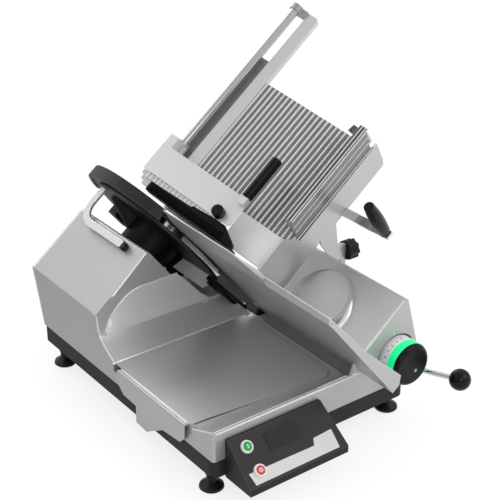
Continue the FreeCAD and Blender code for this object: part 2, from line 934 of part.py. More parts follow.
def sector(outer, inner, d0, d1, start_deg, end_deg):
    """Return a ring sector about the blade axis between two angles."""
    ring = tube(ORIGIN, X_AXIS, outer, inner, d1 - d0)
    span = end_deg - start_deg
    wedge = Part.makeCylinder(2 * outer, 3 * (d1 - d0), Vec(0, 0, 0), Vec(0, 0, 1), span)
    wedge.rotate(ORIGIN, Y_AXIS, 90)
    wedge.rotate(ORIGIN, X_AXIS, 90 + start_deg)
    wedge.translate(Vec(-(d1 - d0), 0, 0))
    piece = ring.common(wedge)
    piece.translate(on_blade(d0))
    return piece


def ring_guard():
    """Build the curved guard over the blade's edge with its fixing lip."""
    band = sector(ring_outer_radius, ring_inner_radius, ring_back_d, ring_front_d,
                  ring_start_deg, ring_end_deg)
    lip_back = neck_front_d + guard_plate_thickness
    lip = sector(ring_inner_radius + sink, ring_lip_inner, lip_back, lip_back + ring_lip_thickness,
                 ring_start_deg, ring_end_deg)
    return to_blade(joined([band, lip]))


def guard_plate():
    """Build the plate behind the blade with its stiffening rib."""
    plate = tube(on_blade(neck_front_d), X_AXIS, guard_plate_radius, plate_bore_radius, guard_plate_thickness)
    flat = rib_height
    rib = polygon_face([Vec(neck_front_d + sink, neck_radius + sink, 0),
                        Vec(neck_front_d - flat, neck_radius + sink, 0),
                        Vec(neck_front_d - rib_thickness, guard_plate_radius - flat, 0),
                        Vec(neck_front_d + sink, guard_plate_radius - flat, 0)])
    rib = rib.extrude(Vec(0, 0, rib_thickness))
    rib.translate(Vec(0, 0, -rib_thickness / 2))
    rib.rotate(ORIGIN, X_AXIS, rib_angle_deg)
    rib.translate(on_blade(0))
    latch = box(neck_front_d - latch_depth, neck_front_d + sink, latch_y - latch_size_y / 2,
                latch_y + latch_size_y / 2, latch_v - latch_size_v / 2, latch_v + latch_size_v / 2)
    return to_blade(joined([plate, rib, rounded(latch, free_gap, X_AXIS)]))


def guard_strap():
    """Build the flat bar bent from the guard plate back to the motor housing roof."""
    top_v = bar_low_v + bar_thickness
    outer = box(bar_back_d, neck_front_d, bar_end_y, bar_y, bar_low_v, top_v)
    outer = rounded(outer, bar_bend_radius, Z_AXIS, lambda m: m.x < bar_back_d + sink and m.y > bar_y - sink)
    inner = box(bar_back_d + bar_width, neck_front_d + sink, bar_end_y - sink, bar_y - bar_width,
                bar_low_v - sink, top_v + sink)
    inner = rounded(inner, bar_bend_radius - bar_width, Z_AXIS,
                    lambda m: m.x < bar_back_d + bar_width + sink and m.y > bar_y - bar_width - sink)
    return to_blade(outer.cut(inner))


def strap_grommet():
    """Build the round rubber rest that holds the end of the bent bar."""
    centre = Vec(bar_back_d + bar_width / 2, bar_end_y, roof_v)
    top_v = bar_low_v + bar_thickness
    shape = rod(centre, Z_AXIS, grommet_radius, top_v + 2 * sink - roof_v)
    slot = box(bar_back_d - run_gap, bar_back_d + bar_width + run_gap, bar_end_y - run_gap,
               bar_y, bar_low_v, top_v)
    return to_blade(shape.cut(slot))


def blade_pulley():
    """Build the grooved pulley on the rear end of the blade shaft."""
    return to_blade(pulley(on_blade(pulley_back_d), blade_pulley_radius, shaft_radius + run_gap))


def pulley(start, radius, bore):
    """Turn a flanged pulley with a bore."""
    flange = radius + pulley_flange
    far = pulley_width - pulley_flange
    outline = [Vec(0, bore, 0), Vec(0, flange, 0), Vec(pulley_flange, flange, 0),
               Vec(pulley_flange, radius, 0), Vec(far, radius, 0), Vec(far, flange, 0),
               Vec(pulley_width, flange, 0), Vec(pulley_width, bore, 0)]
    shape = polygon_face(outline).revolve(ORIGIN, X_AXIS, 360)
    shape.translate(start)
    return shape


def motor_pulley():
    """Build the motor shaft with its small pulley."""
    start = Vec(pulley_back_d, motor_axis_y, motor_axis_v)
    shaft = rod(Vec(motor_front_d + rest_gap, motor_axis_y, motor_axis_v), X_AXIS, motor_shaft_radius,
                motor_shaft_length)
    return to_blade(joined([pulley(start, motor_pulley_radius, motor_shaft_radius - sink), shaft]))


def belt_hull(offset, d0, width):
    """Return the solid wrapped around both pulleys at an offset."""
    big = blade_pulley_radius + offset
    small = motor_pulley_radius + offset
    dy = motor_axis_y - blade_axis_y
    dv = motor_axis_v - blade_axis_v
    span = math.hypot(dy, dv)
    base = math.atan2(dv, dy)
    lean = math.acos((big - small) / span)
    corners = []
    for angle, radius, centre_y, centre_v in ((base + lean, big, blade_axis_y, blade_axis_v),
                                              (base + lean, small, motor_axis_y, motor_axis_v),
                                              (base - lean, small, motor_axis_y, motor_axis_v),
                                              (base - lean, big, blade_axis_y, blade_axis_v)):
        corners.append(Vec(d0, centre_y + radius * math.cos(angle), centre_v + radius * math.sin(angle)))
    web = polygon_face(corners).extrude(Vec(width, 0, 0))
    return joined([web, rod(on_blade(d0), X_AXIS, big, width),
                   rod(Vec(d0, motor_axis_y, motor_axis_v), X_AXIS, small, width)])


def drive_belt():
    """Build the ribbed drive belt as one loop."""
    width = pulley_width - 2 * pulley_flange - 2 * belt_edge_gap
    d0 = pulley_back_d + pulley_flange + belt_edge_gap
    outer = belt_hull(belt_clear + belt_thickness, d0, width)
    return to_blade(outer.cut(belt_hull(belt_clear, d0 - sink, width + 2 * sink)))


def motor():
    """Build the motor body with cooling fins."""
    centre = Vec(motor_front_d - motor_length, motor_axis_y, motor_axis_v)
    body = rod(centre, X_AXIS, motor_radius - fin_depth, motor_length)
    fins = []
    for index in range(fin_count):
        fin = box(centre.x + fin_width, motor_front_d - fin_width, -fin_width / 2, fin_width / 2,
                  motor_radius - 2 * fin_depth, motor_radius)
        fin.rotate(ORIGIN, X_AXIS, 360 * index / fin_count)
        fin.translate(Vec(0, motor_axis_y, motor_axis_v))
        fins.append(fin)
    return to_blade(joined([body] + fins))


def motor_carrier():
    """Build the plate and pillars that hold the motor on the end wall."""
    plate = box(motor_front_d, motor_front_d + carrier_thickness, pillar_near_y - pillar_radius,
                pillar_far_y + pillar_radius, pillar_low_v - pillar_radius, pillar_high_v + pillar_radius)
    bore = rod(Vec(motor_front_d - sink, motor_axis_y, motor_axis_v), X_AXIS, motor_shaft_radius + sink,
               2 * carrier_thickness)
    pieces = [plate]
    for y in (pillar_near_y, pillar_far_y):
        for v in (pillar_low_v, pillar_high_v):
            pieces.append(rod(Vec(motor_front_d, y, v), X_AXIS, pillar_radius,
                              end_wall_d - cast_wall - motor_front_d))
    return to_blade(joined(pieces).cut(bore))


# Deflector

def deflector():
    """Build the bright strip that turns the slice onto the tray."""
    rise = deflector_far_v - deflector_near_v
    outline = [Vec(deflector_low_d, deflector_near_y, deflector_near_v),
               Vec(deflector_low_d, deflector_far_y, deflector_near_v + rise),
               Vec(deflector_low_d, deflector_far_y, deflector_near_v + rise + deflector_thickness),
               Vec(deflector_low_d, deflector_near_y, deflector_near_v + deflector_thickness)]
    return to_blade(polygon_face(outline).extrude(Vec(deflector_high_d - deflector_low_d, 0, 0)))


def deflector_arm():
    """Build the black arm from the hinge up to the deflector."""
    half = deflector_arm_half
    length = math.hypot(deflector_near_y - hinge_y, deflector_near_v - hinge_v)
    side_y = half * (deflector_near_v - hinge_v) / length
    side_v = half * (deflector_near_y - hinge_y) / length
    low = sweep_end_d + rest_gap
    outline = [Vec(low, hinge_y - side_y, hinge_v + side_v), Vec(low, hinge_y + side_y, hinge_v - side_v),
               Vec(low, deflector_near_y + 2 * side_y, deflector_near_v - 2 * side_v),
               Vec(low, deflector_near_y + 2 * side_y, deflector_near_v),
               Vec(low, deflector_near_y, deflector_near_v)]
    arm = polygon_face(outline).extrude(Vec(deflector_high_d - low, 0, 0))
    eye = rod(Vec(low, hinge_y, hinge_v), X_AXIS, half, deflector_high_d - low)
    bore = rod(Vec(low - sink, hinge_y, hinge_v), X_AXIS, hinge_pin_radius + run_gap,
               deflector_high_d - low + 2 * sink)
    under = box(low - sink, deflector_high_d + sink, deflector_near_y, deflector_far_y,
                deflector_near_v, deflector_far_v + half)
    return to_blade(joined([arm, eye]).cut(bore).cut(under))


def hinge_pin():
    """Build the headed pin that carries the deflector arm on the swept surface's end wall."""
    shank = rod(Vec(sweep_end_d - 2 * cast_wall, hinge_y, hinge_v), X_AXIS, hinge_pin_radius,
                deflector_high_d + rest_gap + 2 * cast_wall - sweep_end_d)
    head_start = Vec(deflector_high_d + rest_gap, hinge_y, hinge_v)
    head = rod(head_start, X_AXIS, hinge_head_radius, hinge_head_height)
    return to_blade(joined([shank, head]))


# Gauge plate and its mechanism

def gauge_side():
    """Return the y, v outline of the gauge plate."""
    wall_front = body_front - free_gap
    wall_back = body_front + rim_thickness + free_gap
    return [(gauge_front_y, gauge_nose_v), (gauge_front_y, gauge_top_v), (gauge_step_y, gauge_step_v),
            (gauge_rise_y, gauge_rise_v), (gauge_horn_y, gauge_horn_v), (gauge_horn_y, blade_axis_v),
            (gauge_bottom_rear_y, gauge_bottom_rear_v), (gauge_bottom_rear_y - soft_round, gauge_bottom_v),
            (wall_back, gauge_bottom_v), (wall_back, gauge_notch_v), (wall_front, gauge_notch_v),
            (wall_front, gauge_nose_v)]


def gauge_bevel(height, y0, y1):
    """Build the wedge that bevels the plate's top edge on the side of the tray."""
    start = blade_face_d - gauge_thickness
    top = gauge_horn_v + sink
    outline = [(start - sink, gauge_ridge_v), (start, gauge_ridge_v),
               (start + gauge_bevel_width, gauge_ridge_v + height), (start + gauge_bevel_width, top),
               (start - sink, top)]
    return prism_y(outline, y0, y1)


def gauge_taper():
    """Build the wedge that thins the plate's upper part on the side of the food."""
    top = gauge_horn_v + sink
    thin_d = blade_face_d - gauge_taper_width
    outline = [(blade_face_d, gauge_taper_v), (blade_face_d + sink, gauge_taper_v), (blade_face_d + sink, top),
               (thin_d, top), (thin_d, gauge_ridge_v)]
    return prism_y(outline, gauge_front_y - sink, gauge_horn_y + sink)


def gauge_flange():
    """Build the folded front edge of the gauge plate."""
    start = blade_face_d - gauge_thickness
    outline = [(0, flange_top_v), (flange_top_width, flange_top_v - 2 * free_gap),
               (gauge_thickness - sink, flange_shoulder_v), (gauge_thickness, flange_narrow_v),
               (flange_width_low, flange_low_v), (flange_tip_width, gauge_nose_v), (0, gauge_nose_v)]
    points = [(start + width, v) for width, v in outline]
    return prism_y(points, gauge_front_y - flange_thickness, gauge_front_y)


def gauge_plate():
    """Build the plate that sets the slice thickness, hollowed round the blade."""
    start = blade_face_d - gauge_thickness
    plate = polygon_face([Vec(start, y, v) for y, v in gauge_side()]).extrude(Vec(gauge_thickness, 0, 0))
    sweep = rod(on_blade(start - sink), X_AXIS, blade_radius + free_gap, gauge_thickness + 2 * sink)
    hollow = rod(on_blade(start - sink), X_AXIS, gauge_hollow_radius, gauge_hollow_depth + sink)
    slit = box(start - sink, start + gauge_skin, gauge_slit_y - gauge_slit_length, gauge_slit_y,
               gauge_slit_v, gauge_slit_v + gauge_slit_width)
    plate = plate.cut(gauge_bevel(gauge_bevel_height, gauge_front_y - sink, gauge_step_y))
    plate = plate.cut(gauge_bevel(gauge_rise_v - gauge_ridge_v, gauge_step_y, gauge_horn_y + sink))
    plate = plate.cut(gauge_taper()).cut(hollow).cut(sweep).cut(slit)
    return to_blade(joined([plate, gauge_flange()]))


def gauge_rods():
    """Build the two rods that carry the gauge plate."""
    rods = []
    for y in (slide_front_y, slide_rear_y):
        rods.append(to_blade(rod(Vec(blade_face_d, y, slide_v), X_AXIS, slide_rod_radius,
                                 yoke_start_d() - blade_face_d)))
    return Part.makeCompound(rods)


def gauge_bushes():
    """Build the two flanged bushes in the wall of the control housing."""
    bushes = []
    for y in (slide_front_y, slide_rear_y):
        start = Vec(block_left_d - bush_flange_thickness, y, slide_v)
        flange = rod(start, X_AXIS, bush_flange_radius, bush_flange_thickness)
        sleeve = rod(start, X_AXIS, bush_outer_radius, bush_length)
        bore = rod(start - Vec(sink, 0, 0), X_AXIS, slide_rod_radius + run_gap, bush_length + 2 * sink)
        bushes.append(to_blade(joined([flange, sleeve]).cut(bore)))
    return Part.makeCompound(bushes)


def yoke_start_d():
    """Return the d where the yoke begins, set by the outer end of the cam groove."""
    return dial_axis_d + cam_groove_outer - yoke_thickness / 2


def yoke():
    """Build the cross bar with the pin that runs in the cam groove."""
    start = yoke_start_d()
    bar = box(start, start + yoke_thickness, slide_front_y - yoke_overhang, slide_rear_y + yoke_overhang,
              slide_v - yoke_half_v, slide_v + yoke_half_v)
    lug_y = cam_y + cam_thickness + lug_gap
    lug = box(start, start + yoke_thickness, lug_y, lug_y + lug_thickness,
              dial_axis_v - yoke_thickness / 2, slide_v)
    pin_start = Vec(dial_axis_d + cam_groove_outer, lug_y + sink, dial_axis_v)
    pin = rod(pin_start, Vec(0, -1, 0), cam_pin_radius, lug_gap + cam_pin_reach + sink)
    return to_blade(joined([bar, lug, pin]))


def groove_radius(angle_deg):
    """Return the radius of the spiral groove after the dial has turned by an angle."""
    return cam_groove_outer - gauge_travel * angle_deg / cam_turn_deg


def groove_point(turned, offset, y):
    """Return the point beside the spiral's centre line, offset square to the line."""
    radius = groove_radius(turned)
    angle = math.radians(-turned)
    lean = math.atan2(gauge_travel / math.radians(cam_turn_deg), radius)
    out = radius + offset * math.cos(lean)
    along = offset * math.sin(lean)
    return Vec(dial_axis_d + out * math.cos(angle) + along * math.sin(angle), y,
               dial_axis_v + out * math.sin(angle) - along * math.cos(angle))


def groove_line(offset, y):
    """Return points along one side of the spiral groove."""
    return [groove_point(cam_turn_deg * step / cam_steps, offset, y) for step in range(cam_steps + 1)]


def spiral_cam():
    """Build the disc whose spiral groove moves the gauge plate as the dial turns."""
    disc = rod(Vec(dial_axis_d, cam_y, dial_axis_v), Y_AXIS, cam_radius, cam_thickness)
    floor = cam_y + cam_thickness - cam_groove_depth
    half = cam_groove_width / 2
    outer = Part.BSplineCurve()
    outer.interpolate(groove_line(half, floor))
    inner = Part.BSplineCurve()
    inner.interpolate(groove_line(-half, floor))
    first = Part.LineSegment(outer.StartPoint, inner.StartPoint).toShape()
    last = Part.LineSegment(outer.EndPoint, inner.EndPoint).toShape()
    wire = Part.Wire(Part.__sortEdges__([outer.toShape(), last, inner.toShape(), first]))
    groove = Part.Face(wire).extrude(Vec(0, cam_groove_depth + sink, 0))
    ends = []
    for turned in (0, cam_turn_deg):
        ends.append(rod(groove_point(turned, 0, floor), Y_AXIS, half, cam_groove_depth + sink))
    return to_blade(disc.cut(groove).cut(ends[0]).cut(ends[1]))


def dial_spindle():
    """Build the spindle between dial and cam."""
    end = body_front - scale_length - index_ring_length
    return rod(dial_point(end), Y_AXIS, spindle_radius, cam_y - end)


def dial_bearing():
    """Build the flanged bearing of the dial spindle behind the front wall."""
    start = dial_point(body_front + rim_thickness)
    flange = rod(start, Y_AXIS, dial_bearing_flange, dial_bearing_flange_thickness)
    sleeve = rod(start, Y_AXIS, dial_bearing_radius, dial_bearing_length)
    bore = rod(start - Vec(0, sink, 0), Y_AXIS, spindle_radius + run_gap, dial_bearing_length + 2 * sink)
    return joined([flange, sleeve]).cut(bore)


def dial_ring(y0, radius, length):
    """Return one ring of the dial with the spindle's bore."""
    return tube(dial_point(y0), Y_AXIS, radius, spindle_radius + run_gap, length)


def scale_ring():
    """Build the white ring that carries the scale."""
    return dial_ring(body_front - scale_length, scale_radius, scale_length + dial_gap_depth - rest_gap)


def index_ring():
    """Build the coloured ring between scale and knob."""
    return dial_ring(body_front - scale_length - index_ring_length, index_ring_radius, index_ring_length)


def dial_knob():
    """Build the domed black knob by turning its outline."""
    back_y = body_front - scale_length - index_ring_length
    face_y = back_y - knob_length
    outline = [Vec(0, back_y, 0), Vec(knob_radius, back_y, 0), Vec(knob_radius, face_y + knob_dome, 0)]
    arc = Part.Arc(outline[2], Vec(knob_radius - knob_dome / 3, face_y + knob_dome / 3, 0),
                   Vec(knob_radius - knob_dome, face_y, 0)).toShape()
    tail = Part.makePolygon([Vec(knob_radius - knob_dome, face_y, 0), Vec(0, face_y, 0), outline[0]])
    wire = Part.Wire(Part.makePolygon(outline).Edges + [arc] + tail.Edges)
    shape = Part.Face(wire).revolve(ORIGIN, Y_AXIS, 360)
    x, z = at(dial_axis_d, dial_axis_v)
    shape.translate(Vec(x, 0, z))
    return shape


def ball_point():
    """Return the centre of the ball."""
    return Vec(ball_x, ball_y, ball_z)


def lever():
    """Build the lever's hub, stem and rod."""
    hub_face = Vec(lever_x, body_front - lever_hub_length, lever_z)
    hub = rod(hub_face, Y_AXIS, lever_hub_radius, lever_hub_length)
    stem = rod(hub_face, Y_AXIS, lever_stem_radius, lever_hub_length + lever_stem_length)
    start = hub_face + Vec(0, lever_rod_radius, 0)
    reach = ball_point() - start
    bar = rod(start, reach, lever_rod_radius, reach.Length - ball_radius + sink)
    return joined([hub, stem, bar]).cut(Part.makeSphere(ball_radius, ball_point()))


def lever_ball():
    """Build the ball on the end of the lever."""
    return Part.makeSphere(ball_radius, ball_point())


# Receiving tray

def tray():
    """Build the bent receiving tray with its scalloped side flap."""
    low = tray_top_z - tray_thickness
    outline = [(tray_left_x, tray_left_front_y), (tray_pin_left_x, tray_left_front_y),
               (tray_right_x, tray_right_front_y), (tray_right_x, tray_rear_y), (tray_left_x, tray_rear_y)]
    plate = prism_z(outline, low, tray_top_z)
    plate = rounded(plate, tray_corner_radius, Z_AXIS, lambda m: m.x > tray_right_x - sink and m.y < 0)
    flap = box(tray_left_x - tray_thickness, tray_left_x, tray_flap_front_y, tray_flap_rear_y,
               tray_top_z - tray_flap_drop, tray_top_z)
    for step in (0, 1):
        centre = Vec(tray_left_x - 2 * tray_thickness, tray_scallop_y - step * tray_scallop_pitch,
                     tray_top_z - tray_flap_drop)
        flap = flap.cut(rod(centre, X_AXIS, tray_scallop_radius, 2 * tray_corner_radius))
    return joined([plate, flap])


def tray_pins():
    """Build the four rubber-topped pins under the tray."""
    pins = []
    for x in (tray_pin_left_x, tray_pin_x):
        for y in (tray_pin_y, tray_pin_rear_y):
            pins.append(rod(Vec(x, y, deck_z), Z_AXIS, tray_pin_radius, tray_top_z - tray_thickness - deck_z))
    return Part.makeCompound(pins)


# Control panel

def to_panel(shape):
    """Turn a shape drawn on the panel's slope (x, up the slope, outwards) into the part's frame."""
    slope = math.degrees(math.atan2(panel_top_z - panel_low_z, panel_top_y - panel_low_y))
    shape.rotate(ORIGIN, X_AXIS, slope)
    shape.translate(Vec(0, panel_top_y, panel_top_z))
    return shape


def panel_volume(inset):
    """Build the wedge of the control panel."""
    left = panel_left_x + inset
    points = [(body_front, panel_top_z - inset), (panel_top_y, panel_top_z - 2 * inset),
              (panel_low_y + inset, panel_low_z - inset / 2), (panel_low_y + inset, panel_bottom_z + inset),
              (body_front, panel_bottom_z + inset)]
    wedge = prism_x(points, left, panel_right_low_x - inset)
    if inset:
        back = [(body_front, panel_top_z - inset), (body_front + sink, panel_top_z - inset),
                (body_front + sink, panel_bottom_z + inset), (body_front, panel_bottom_z + inset)]
        wedge = joined([wedge, prism_x(back, left, panel_right_low_x - inset)])
    back_y = body_front + 2 * sink
    low_y = panel_low_y - sink
    beyond = panel_right_low_x + edge_round
    taper = prism_z([(panel_right_x - inset, back_y), (panel_right_low_x - inset, low_y),
                     (beyond, low_y), (beyond, back_y)], 0, 2 * panel_top_z)
    return wedge.cut(taper)


def control_panel():
    """Build the hollow panel housing with its two button holes."""
    shell = panel_volume(0).cut(panel_volume(panel_wall))
    for x, slide in button_places():
        hole = rod(Vec(x, -slide, -2 * edge_round), Z_AXIS, button_stem_radius + run_gap, edge_round * 3)
        shell = shell.cut(to_panel(hole))
    return shell


def button_places():
    """Return x and slide of the start and the stop button."""
    return ((start_x, start_slide), (stop_x, stop_slide))


def button(index):
    """Build one push button with its stem."""
    x, slide = button_places()[index]
    cap = rod(Vec(x, -slide, button_travel + sink / 2), Z_AXIS, button_radius, button_height - button_travel)
    top_edge = [edge for edge in cap.Edges if edge.CenterOfMass.z > button_height]
    cap = cap.makeFillet(sink, top_edge[:1])
    reach = button_stem_length + button_travel + sink
    stem = rod(Vec(x, -slide, -button_stem_length), Z_AXIS, button_stem_radius, reach)
    return to_panel(joined([cap, stem]))


def face_plate(left, right, near, far):
    """Return a thin plate lying on the panel's slope."""
    plate = box(left, right, -far, -near, 0, plate_thickness)
    return to_panel(rounded(plate, free_gap, Z_AXIS))


# Carriage

def on_table(d, a, n):
    """Return a point in the food table's axes."""
    return Vec(d, a, n)


def food_table():
    """Build the ribbed food table."""
    plate = box(table_low_d, table_high_d, table_near_a, table_far_a, table_n - table_thickness, table_n)
    ribs = []
    count = int((table_far_a - table_near_a - table_rib_width) / rib_pitch) + 1
    for index in range(count):
        low = table_near_a + index * rib_pitch
        rib = box(table_low_d, table_high_d, low, low + table_rib_width, table_n - sink,
                  table_n + table_rib_height)
        ribs.append(rounded(rib, table_rib_height - sink, X_AXIS, lambda m: m.z > table_n))
    return to_table(joined([plate] + ribs))


def lower_plate():
    """Build the smooth plate at the table's lower end."""
    plate = box(lower_low_d, table_low_d, lower_near_a, lower_far_a, table_n - table_thickness,
                table_n + lower_lift)
    left = lower_low_d + sink
    return to_table(rounded(plate, edge_round, Z_AXIS, lambda m: m.x < left and m.y > lower_far_a - sink))


def fence():
    """Build the upright fence at the near edge of the table with its hollow outer face."""
    top = table_n + fence_height
    near = table_near_a
    sag = fence_fold
    arc = Part.Arc(Vec(fence_low_d, near - fence_thickness - sag, top),
                   Vec(fence_low_d, near - fence_thickness, table_n + fence_height / 2),
                   Vec(fence_low_d, near - fence_thickness, table_n + table_rib_height)).toShape()
    sides = Part.makePolygon([Vec(fence_low_d, near - fence_thickness, table_n + table_rib_height),
                              Vec(fence_low_d, near + fence_thickness, table_n + table_rib_height),
                              Vec(fence_low_d, near + fence_thickness, top - fence_band),
                              Vec(fence_low_d, near, top),
                              Vec(fence_low_d, near - fence_thickness - sag, top)])
    face = Part.Face(Part.Wire([arc] + sides.Edges))
    sheet = face.extrude(Vec(fence_high_d - fence_low_d + sink, 0, 0))
    post = box(fence_high_d, fence_high_d + fence_post_thickness, near - sag - fence_thickness,
               near + fence_post_reach, table_n + table_rib_height, top + fence_thickness)
    return to_table(joined([sheet, rounded(post, fence_thickness, X_AXIS)]))


def carriage_wall():
    """Build the upright wall at the carriage's front edge with the arm down to the foot."""
    shoulder = foot_plate_left_x + foot_plate_thickness
    over_boss = block_roof_v + boss_height + sink
    points = [at(wall_left_d, over_boss), at(wall_left_d, wall_lip_v), at(wall_lip_d, wall_lip_v),
              at(wall_step_d, wall_step_v), at(wall_tip_d, wall_corner_v), at(wall_right_d, wall_tip_v),
              at(wall_right_d - wall_thickness, wall_low_v), at(arm_right_d, wall_low_v),
              at(arm_waist_d, arm_waist_v), (shoulder, arm_shoulder_z), (shoulder, foot_top_z),
              (foot_plate_left_x - wall_thickness, foot_top_z), at(arm_low_left_d, arm_low_v),
              at(arm_left_d, over_boss)]
    wall = prism_y(points, wall_y, wall_y + wall_thickness)
    corner_x, corner_z = at(arm_left_d, over_boss)
    relief = rod(Vec(corner_x, wall_y - sink, corner_z), Y_AXIS, arm_relief_radius, wall_thickness + 2 * sink)
    return wall.cut(relief)


def carriage_foot():
    """Build the foot that carries the carriage on its rod."""
    low = rod_z - foot_block_half_z
    right = foot_plate_left_x + foot_plate_thickness
    plate = box(foot_plate_left_x, right, wall_y, wall_y + foot_plate_length, low, foot_top_z)
    block = box(foot_block_left_x, right, wall_y, wall_y + foot_block_length, low, rod_z + foot_block_half_z)
    bore = rod(Vec(rod_x, wall_y - sink, rod_z), Y_AXIS, rod_radius + run_gap, foot_block_length + 2 * sink)
    return joined([plate, block]).cut(bore)


def rod_span():
    """Return the y of the two inner wall faces that the carriage rod runs between."""
    return body_front + rim_thickness, body_rear - cast_wall


def carriage_rod():
    """Build the polished rod that the carriage runs on."""
    front, rear = rod_span()
    return rod(Vec(rod_x, front + rest_gap, rod_z), Y_AXIS, rod_radius, rear - front - 2 * rest_gap)


def rod_brackets():
    """Build the two brackets that hold the rod's ends on the body's walls."""
    brackets = []
    front, rear = rod_span()
    for y in (front, rear - bracket_length):
        block = box(rod_x - bracket_half, rod_x + bracket_half, y, y + bracket_length,
                    body_bottom_z + rest_gap, rod_z + foot_block_half_z + sink)
        brackets.append(block.cut(rod(Vec(rod_x, y - sink, rod_z), Y_AXIS, rod_radius + run_gap,
                                      bracket_length + 2 * sink)))
    return Part.makeCompound(brackets)


def lobed_knob(centre, axis):
    """Return a star knob with rounded lobes about an axis along X."""
    body = rod(centre, axis, lock_radius - lock_lobe_radius / 2, lock_length)
    lobes = []
    for index in range(lock_lobes):
        angle = 2 * math.pi * index / lock_lobes
        reach = lock_radius - lock_lobe_radius
        place = centre + Vec(0, reach * math.cos(angle), reach * math.sin(angle))
        lobes.append(rod(place, axis, lock_lobe_radius, lock_length))
    return joined([body] + lobes)


def lock_knob():
    """Build the knob that locks the carriage on its foot."""
    start = Vec(foot_plate_left_x + foot_plate_thickness + rest_gap, lock_y(), lock_z)
    return lobed_knob(start, X_AXIS)


def lock_y():
    """Return the y of the locking knob, in the middle of the wall."""
    return wall_y + wall_thickness / 2


def handle_bar():
    """Build the flat bar that carries the push handle."""
    bar = box(handle_d - handle_bar_half, handle_d + handle_bar_half, handle_end_y, wall_y,
              handle_v - handle_bar_thickness / 2, handle_v + handle_bar_thickness / 2)
    return to_blade(rounded(bar, handle_bar_half / 2, Z_AXIS, lambda m: m.y < handle_end_y + sink))


def handle_grip():
    """Build the swelling push grip by turning its outline."""
    shoulder = grip_length - grip_end_round
    waist = grip_neck_radius - grip_end_round / 2
    swell = Part.Arc(Vec(grip_neck_radius, 0, 0), Vec(grip_radius, 0, grip_length / 2),
                     Vec(grip_neck_radius, 0, shoulder)).toShape()
    end = Part.Arc(Vec(grip_neck_radius, 0, shoulder), Vec(waist + sink, 0, grip_length - sink),
                   Vec(waist - sink, 0, grip_length)).toShape()
    sides = Part.makePolygon([Vec(waist - sink, 0, grip_length), Vec(0, 0, grip_length), ORIGIN,
                              Vec(grip_neck_radius, 0, 0)])
    shape = Part.Face(Part.Wire([swell, end] + sides.Edges)).revolve(ORIGIN, Z_AXIS, 360)
    shape.rotate(ORIGIN, X_AXIS, grip_lean_deg)
    foot_cut = box(-grip_radius, grip_radius, -2 * grip_radius, 2 * grip_radius, -grip_radius, grip_flat)
    shape = shape.cut(foot_cut)
    seat_v = handle_v + handle_bar_thickness / 2 - grip_flat
    shape.translate(Vec(handle_d, handle_end_y + grip_radius, seat_v))
    return to_blade(shape)


# Rail and remnant holder

def rail():
    """Build the channel beside the table, the web behind it and the block at the rod's lower end."""
    outer = box(rail_low_d, rail_high_d, table_far_a, rail_step_a, rail_floor_n, rail_top_n)
    outer = rounded(outer, soft_round, Z_AXIS,
                    lambda m: m.x > rail_high_d - sink and m.y < table_far_a + sink)
    inner = box(rail_low_d + rail_wall, rail_high_d - soft_round, table_far_a + rail_wall,
                rail_step_a - rail_wall, rail_floor_n - sink, rail_top_n - rail_wall)
    web = box(rail_low_d, rail_web_high_d, rail_step_a - sink, rail_far_a, rail_floor_n,
              rail_floor_n + rail_wall)
    return to_table(joined([outer.cut(inner), web, rail_block(rail_low_d, rail_low_d + rail_wall)]))


def rail_block(low_d, bore_d):
    """Build one block with a round eye for an end of the rod."""
    block = box(low_d, low_d + rail_block_length, rail_step_a, rail_far_a, rail_floor_n, rail_rod_n)
    eye = rod(on_table(low_d, rail_rod_a, rail_rod_n), X_AXIS, rail_collar_radius, rail_block_length)
    bore = rod(on_table(bore_d, rail_rod_a, rail_rod_n), X_AXIS, rail_rod_radius + run_gap,
               rail_block_length - rail_wall)
    return joined([block, eye]).cut(bore)


def rail_rod():
    """Build the round rod that the remnant holder runs on."""
    start = on_table(rail_low_d + rail_wall, rail_rod_a, rail_rod_n)
    return to_table(rod(start, X_AXIS, rail_rod_radius, rail_high_d - rail_low_d - 2 * rail_wall))


def rail_cap():
    """Build the block at the rod's upper end."""
    low_d = rail_high_d - rail_block_length
    return to_table(rail_block(low_d, low_d))


def holder_collars():
    """Build the two collars that slide on the rail's rod beside the holder's sleeve."""
    collars = []
    for low in (holder_low_d - holder_collar_width - rest_gap, holder_high_d + rest_gap):
        collars.append(to_table(tube(on_table(low, rail_rod_a, rail_rod_n), X_AXIS, holder_sleeve_radius,
                                     rail_rod_radius + run_gap, holder_collar_width)))
    return Part.makeCompound(collars)


def holder_plate():
    """Build the smooth plate of the remnant holder with its sleeve, riser and grip lug."""
    low_n = plate_n - holder_plate_thickness
    left = plate_low_d + sink
    plate = box(plate_low_d, plate_high_d, plate_near_a, plate_far_a, low_n, plate_n)
    plate = rounded(plate, soft_round, Z_AXIS, lambda m: m.x < left and m.y < plate_near_a + sink)
    lug = box(plate_high_d - lug_size, plate_high_d, holder_grip_a - lug_size / 2,
              holder_grip_a + lug_size / 2, plate_n - sink, plate_n + lug_size)
    sleeve = rod(on_table(holder_low_d, rail_rod_a, rail_rod_n), X_AXIS, holder_sleeve_radius,
                 holder_high_d - holder_low_d)
    riser = box(holder_low_d, holder_high_d, rail_rod_a - riser_half, rail_rod_a + riser_half, rail_rod_n,
                plate_n - sink)
    bore = rod(on_table(holder_low_d - sink, rail_rod_a, rail_rod_n), X_AXIS, rail_rod_radius + run_gap,
               holder_high_d - holder_low_d + 2 * sink)
    return to_table(joined([plate, lug, sleeve, riser]).cut(bore))


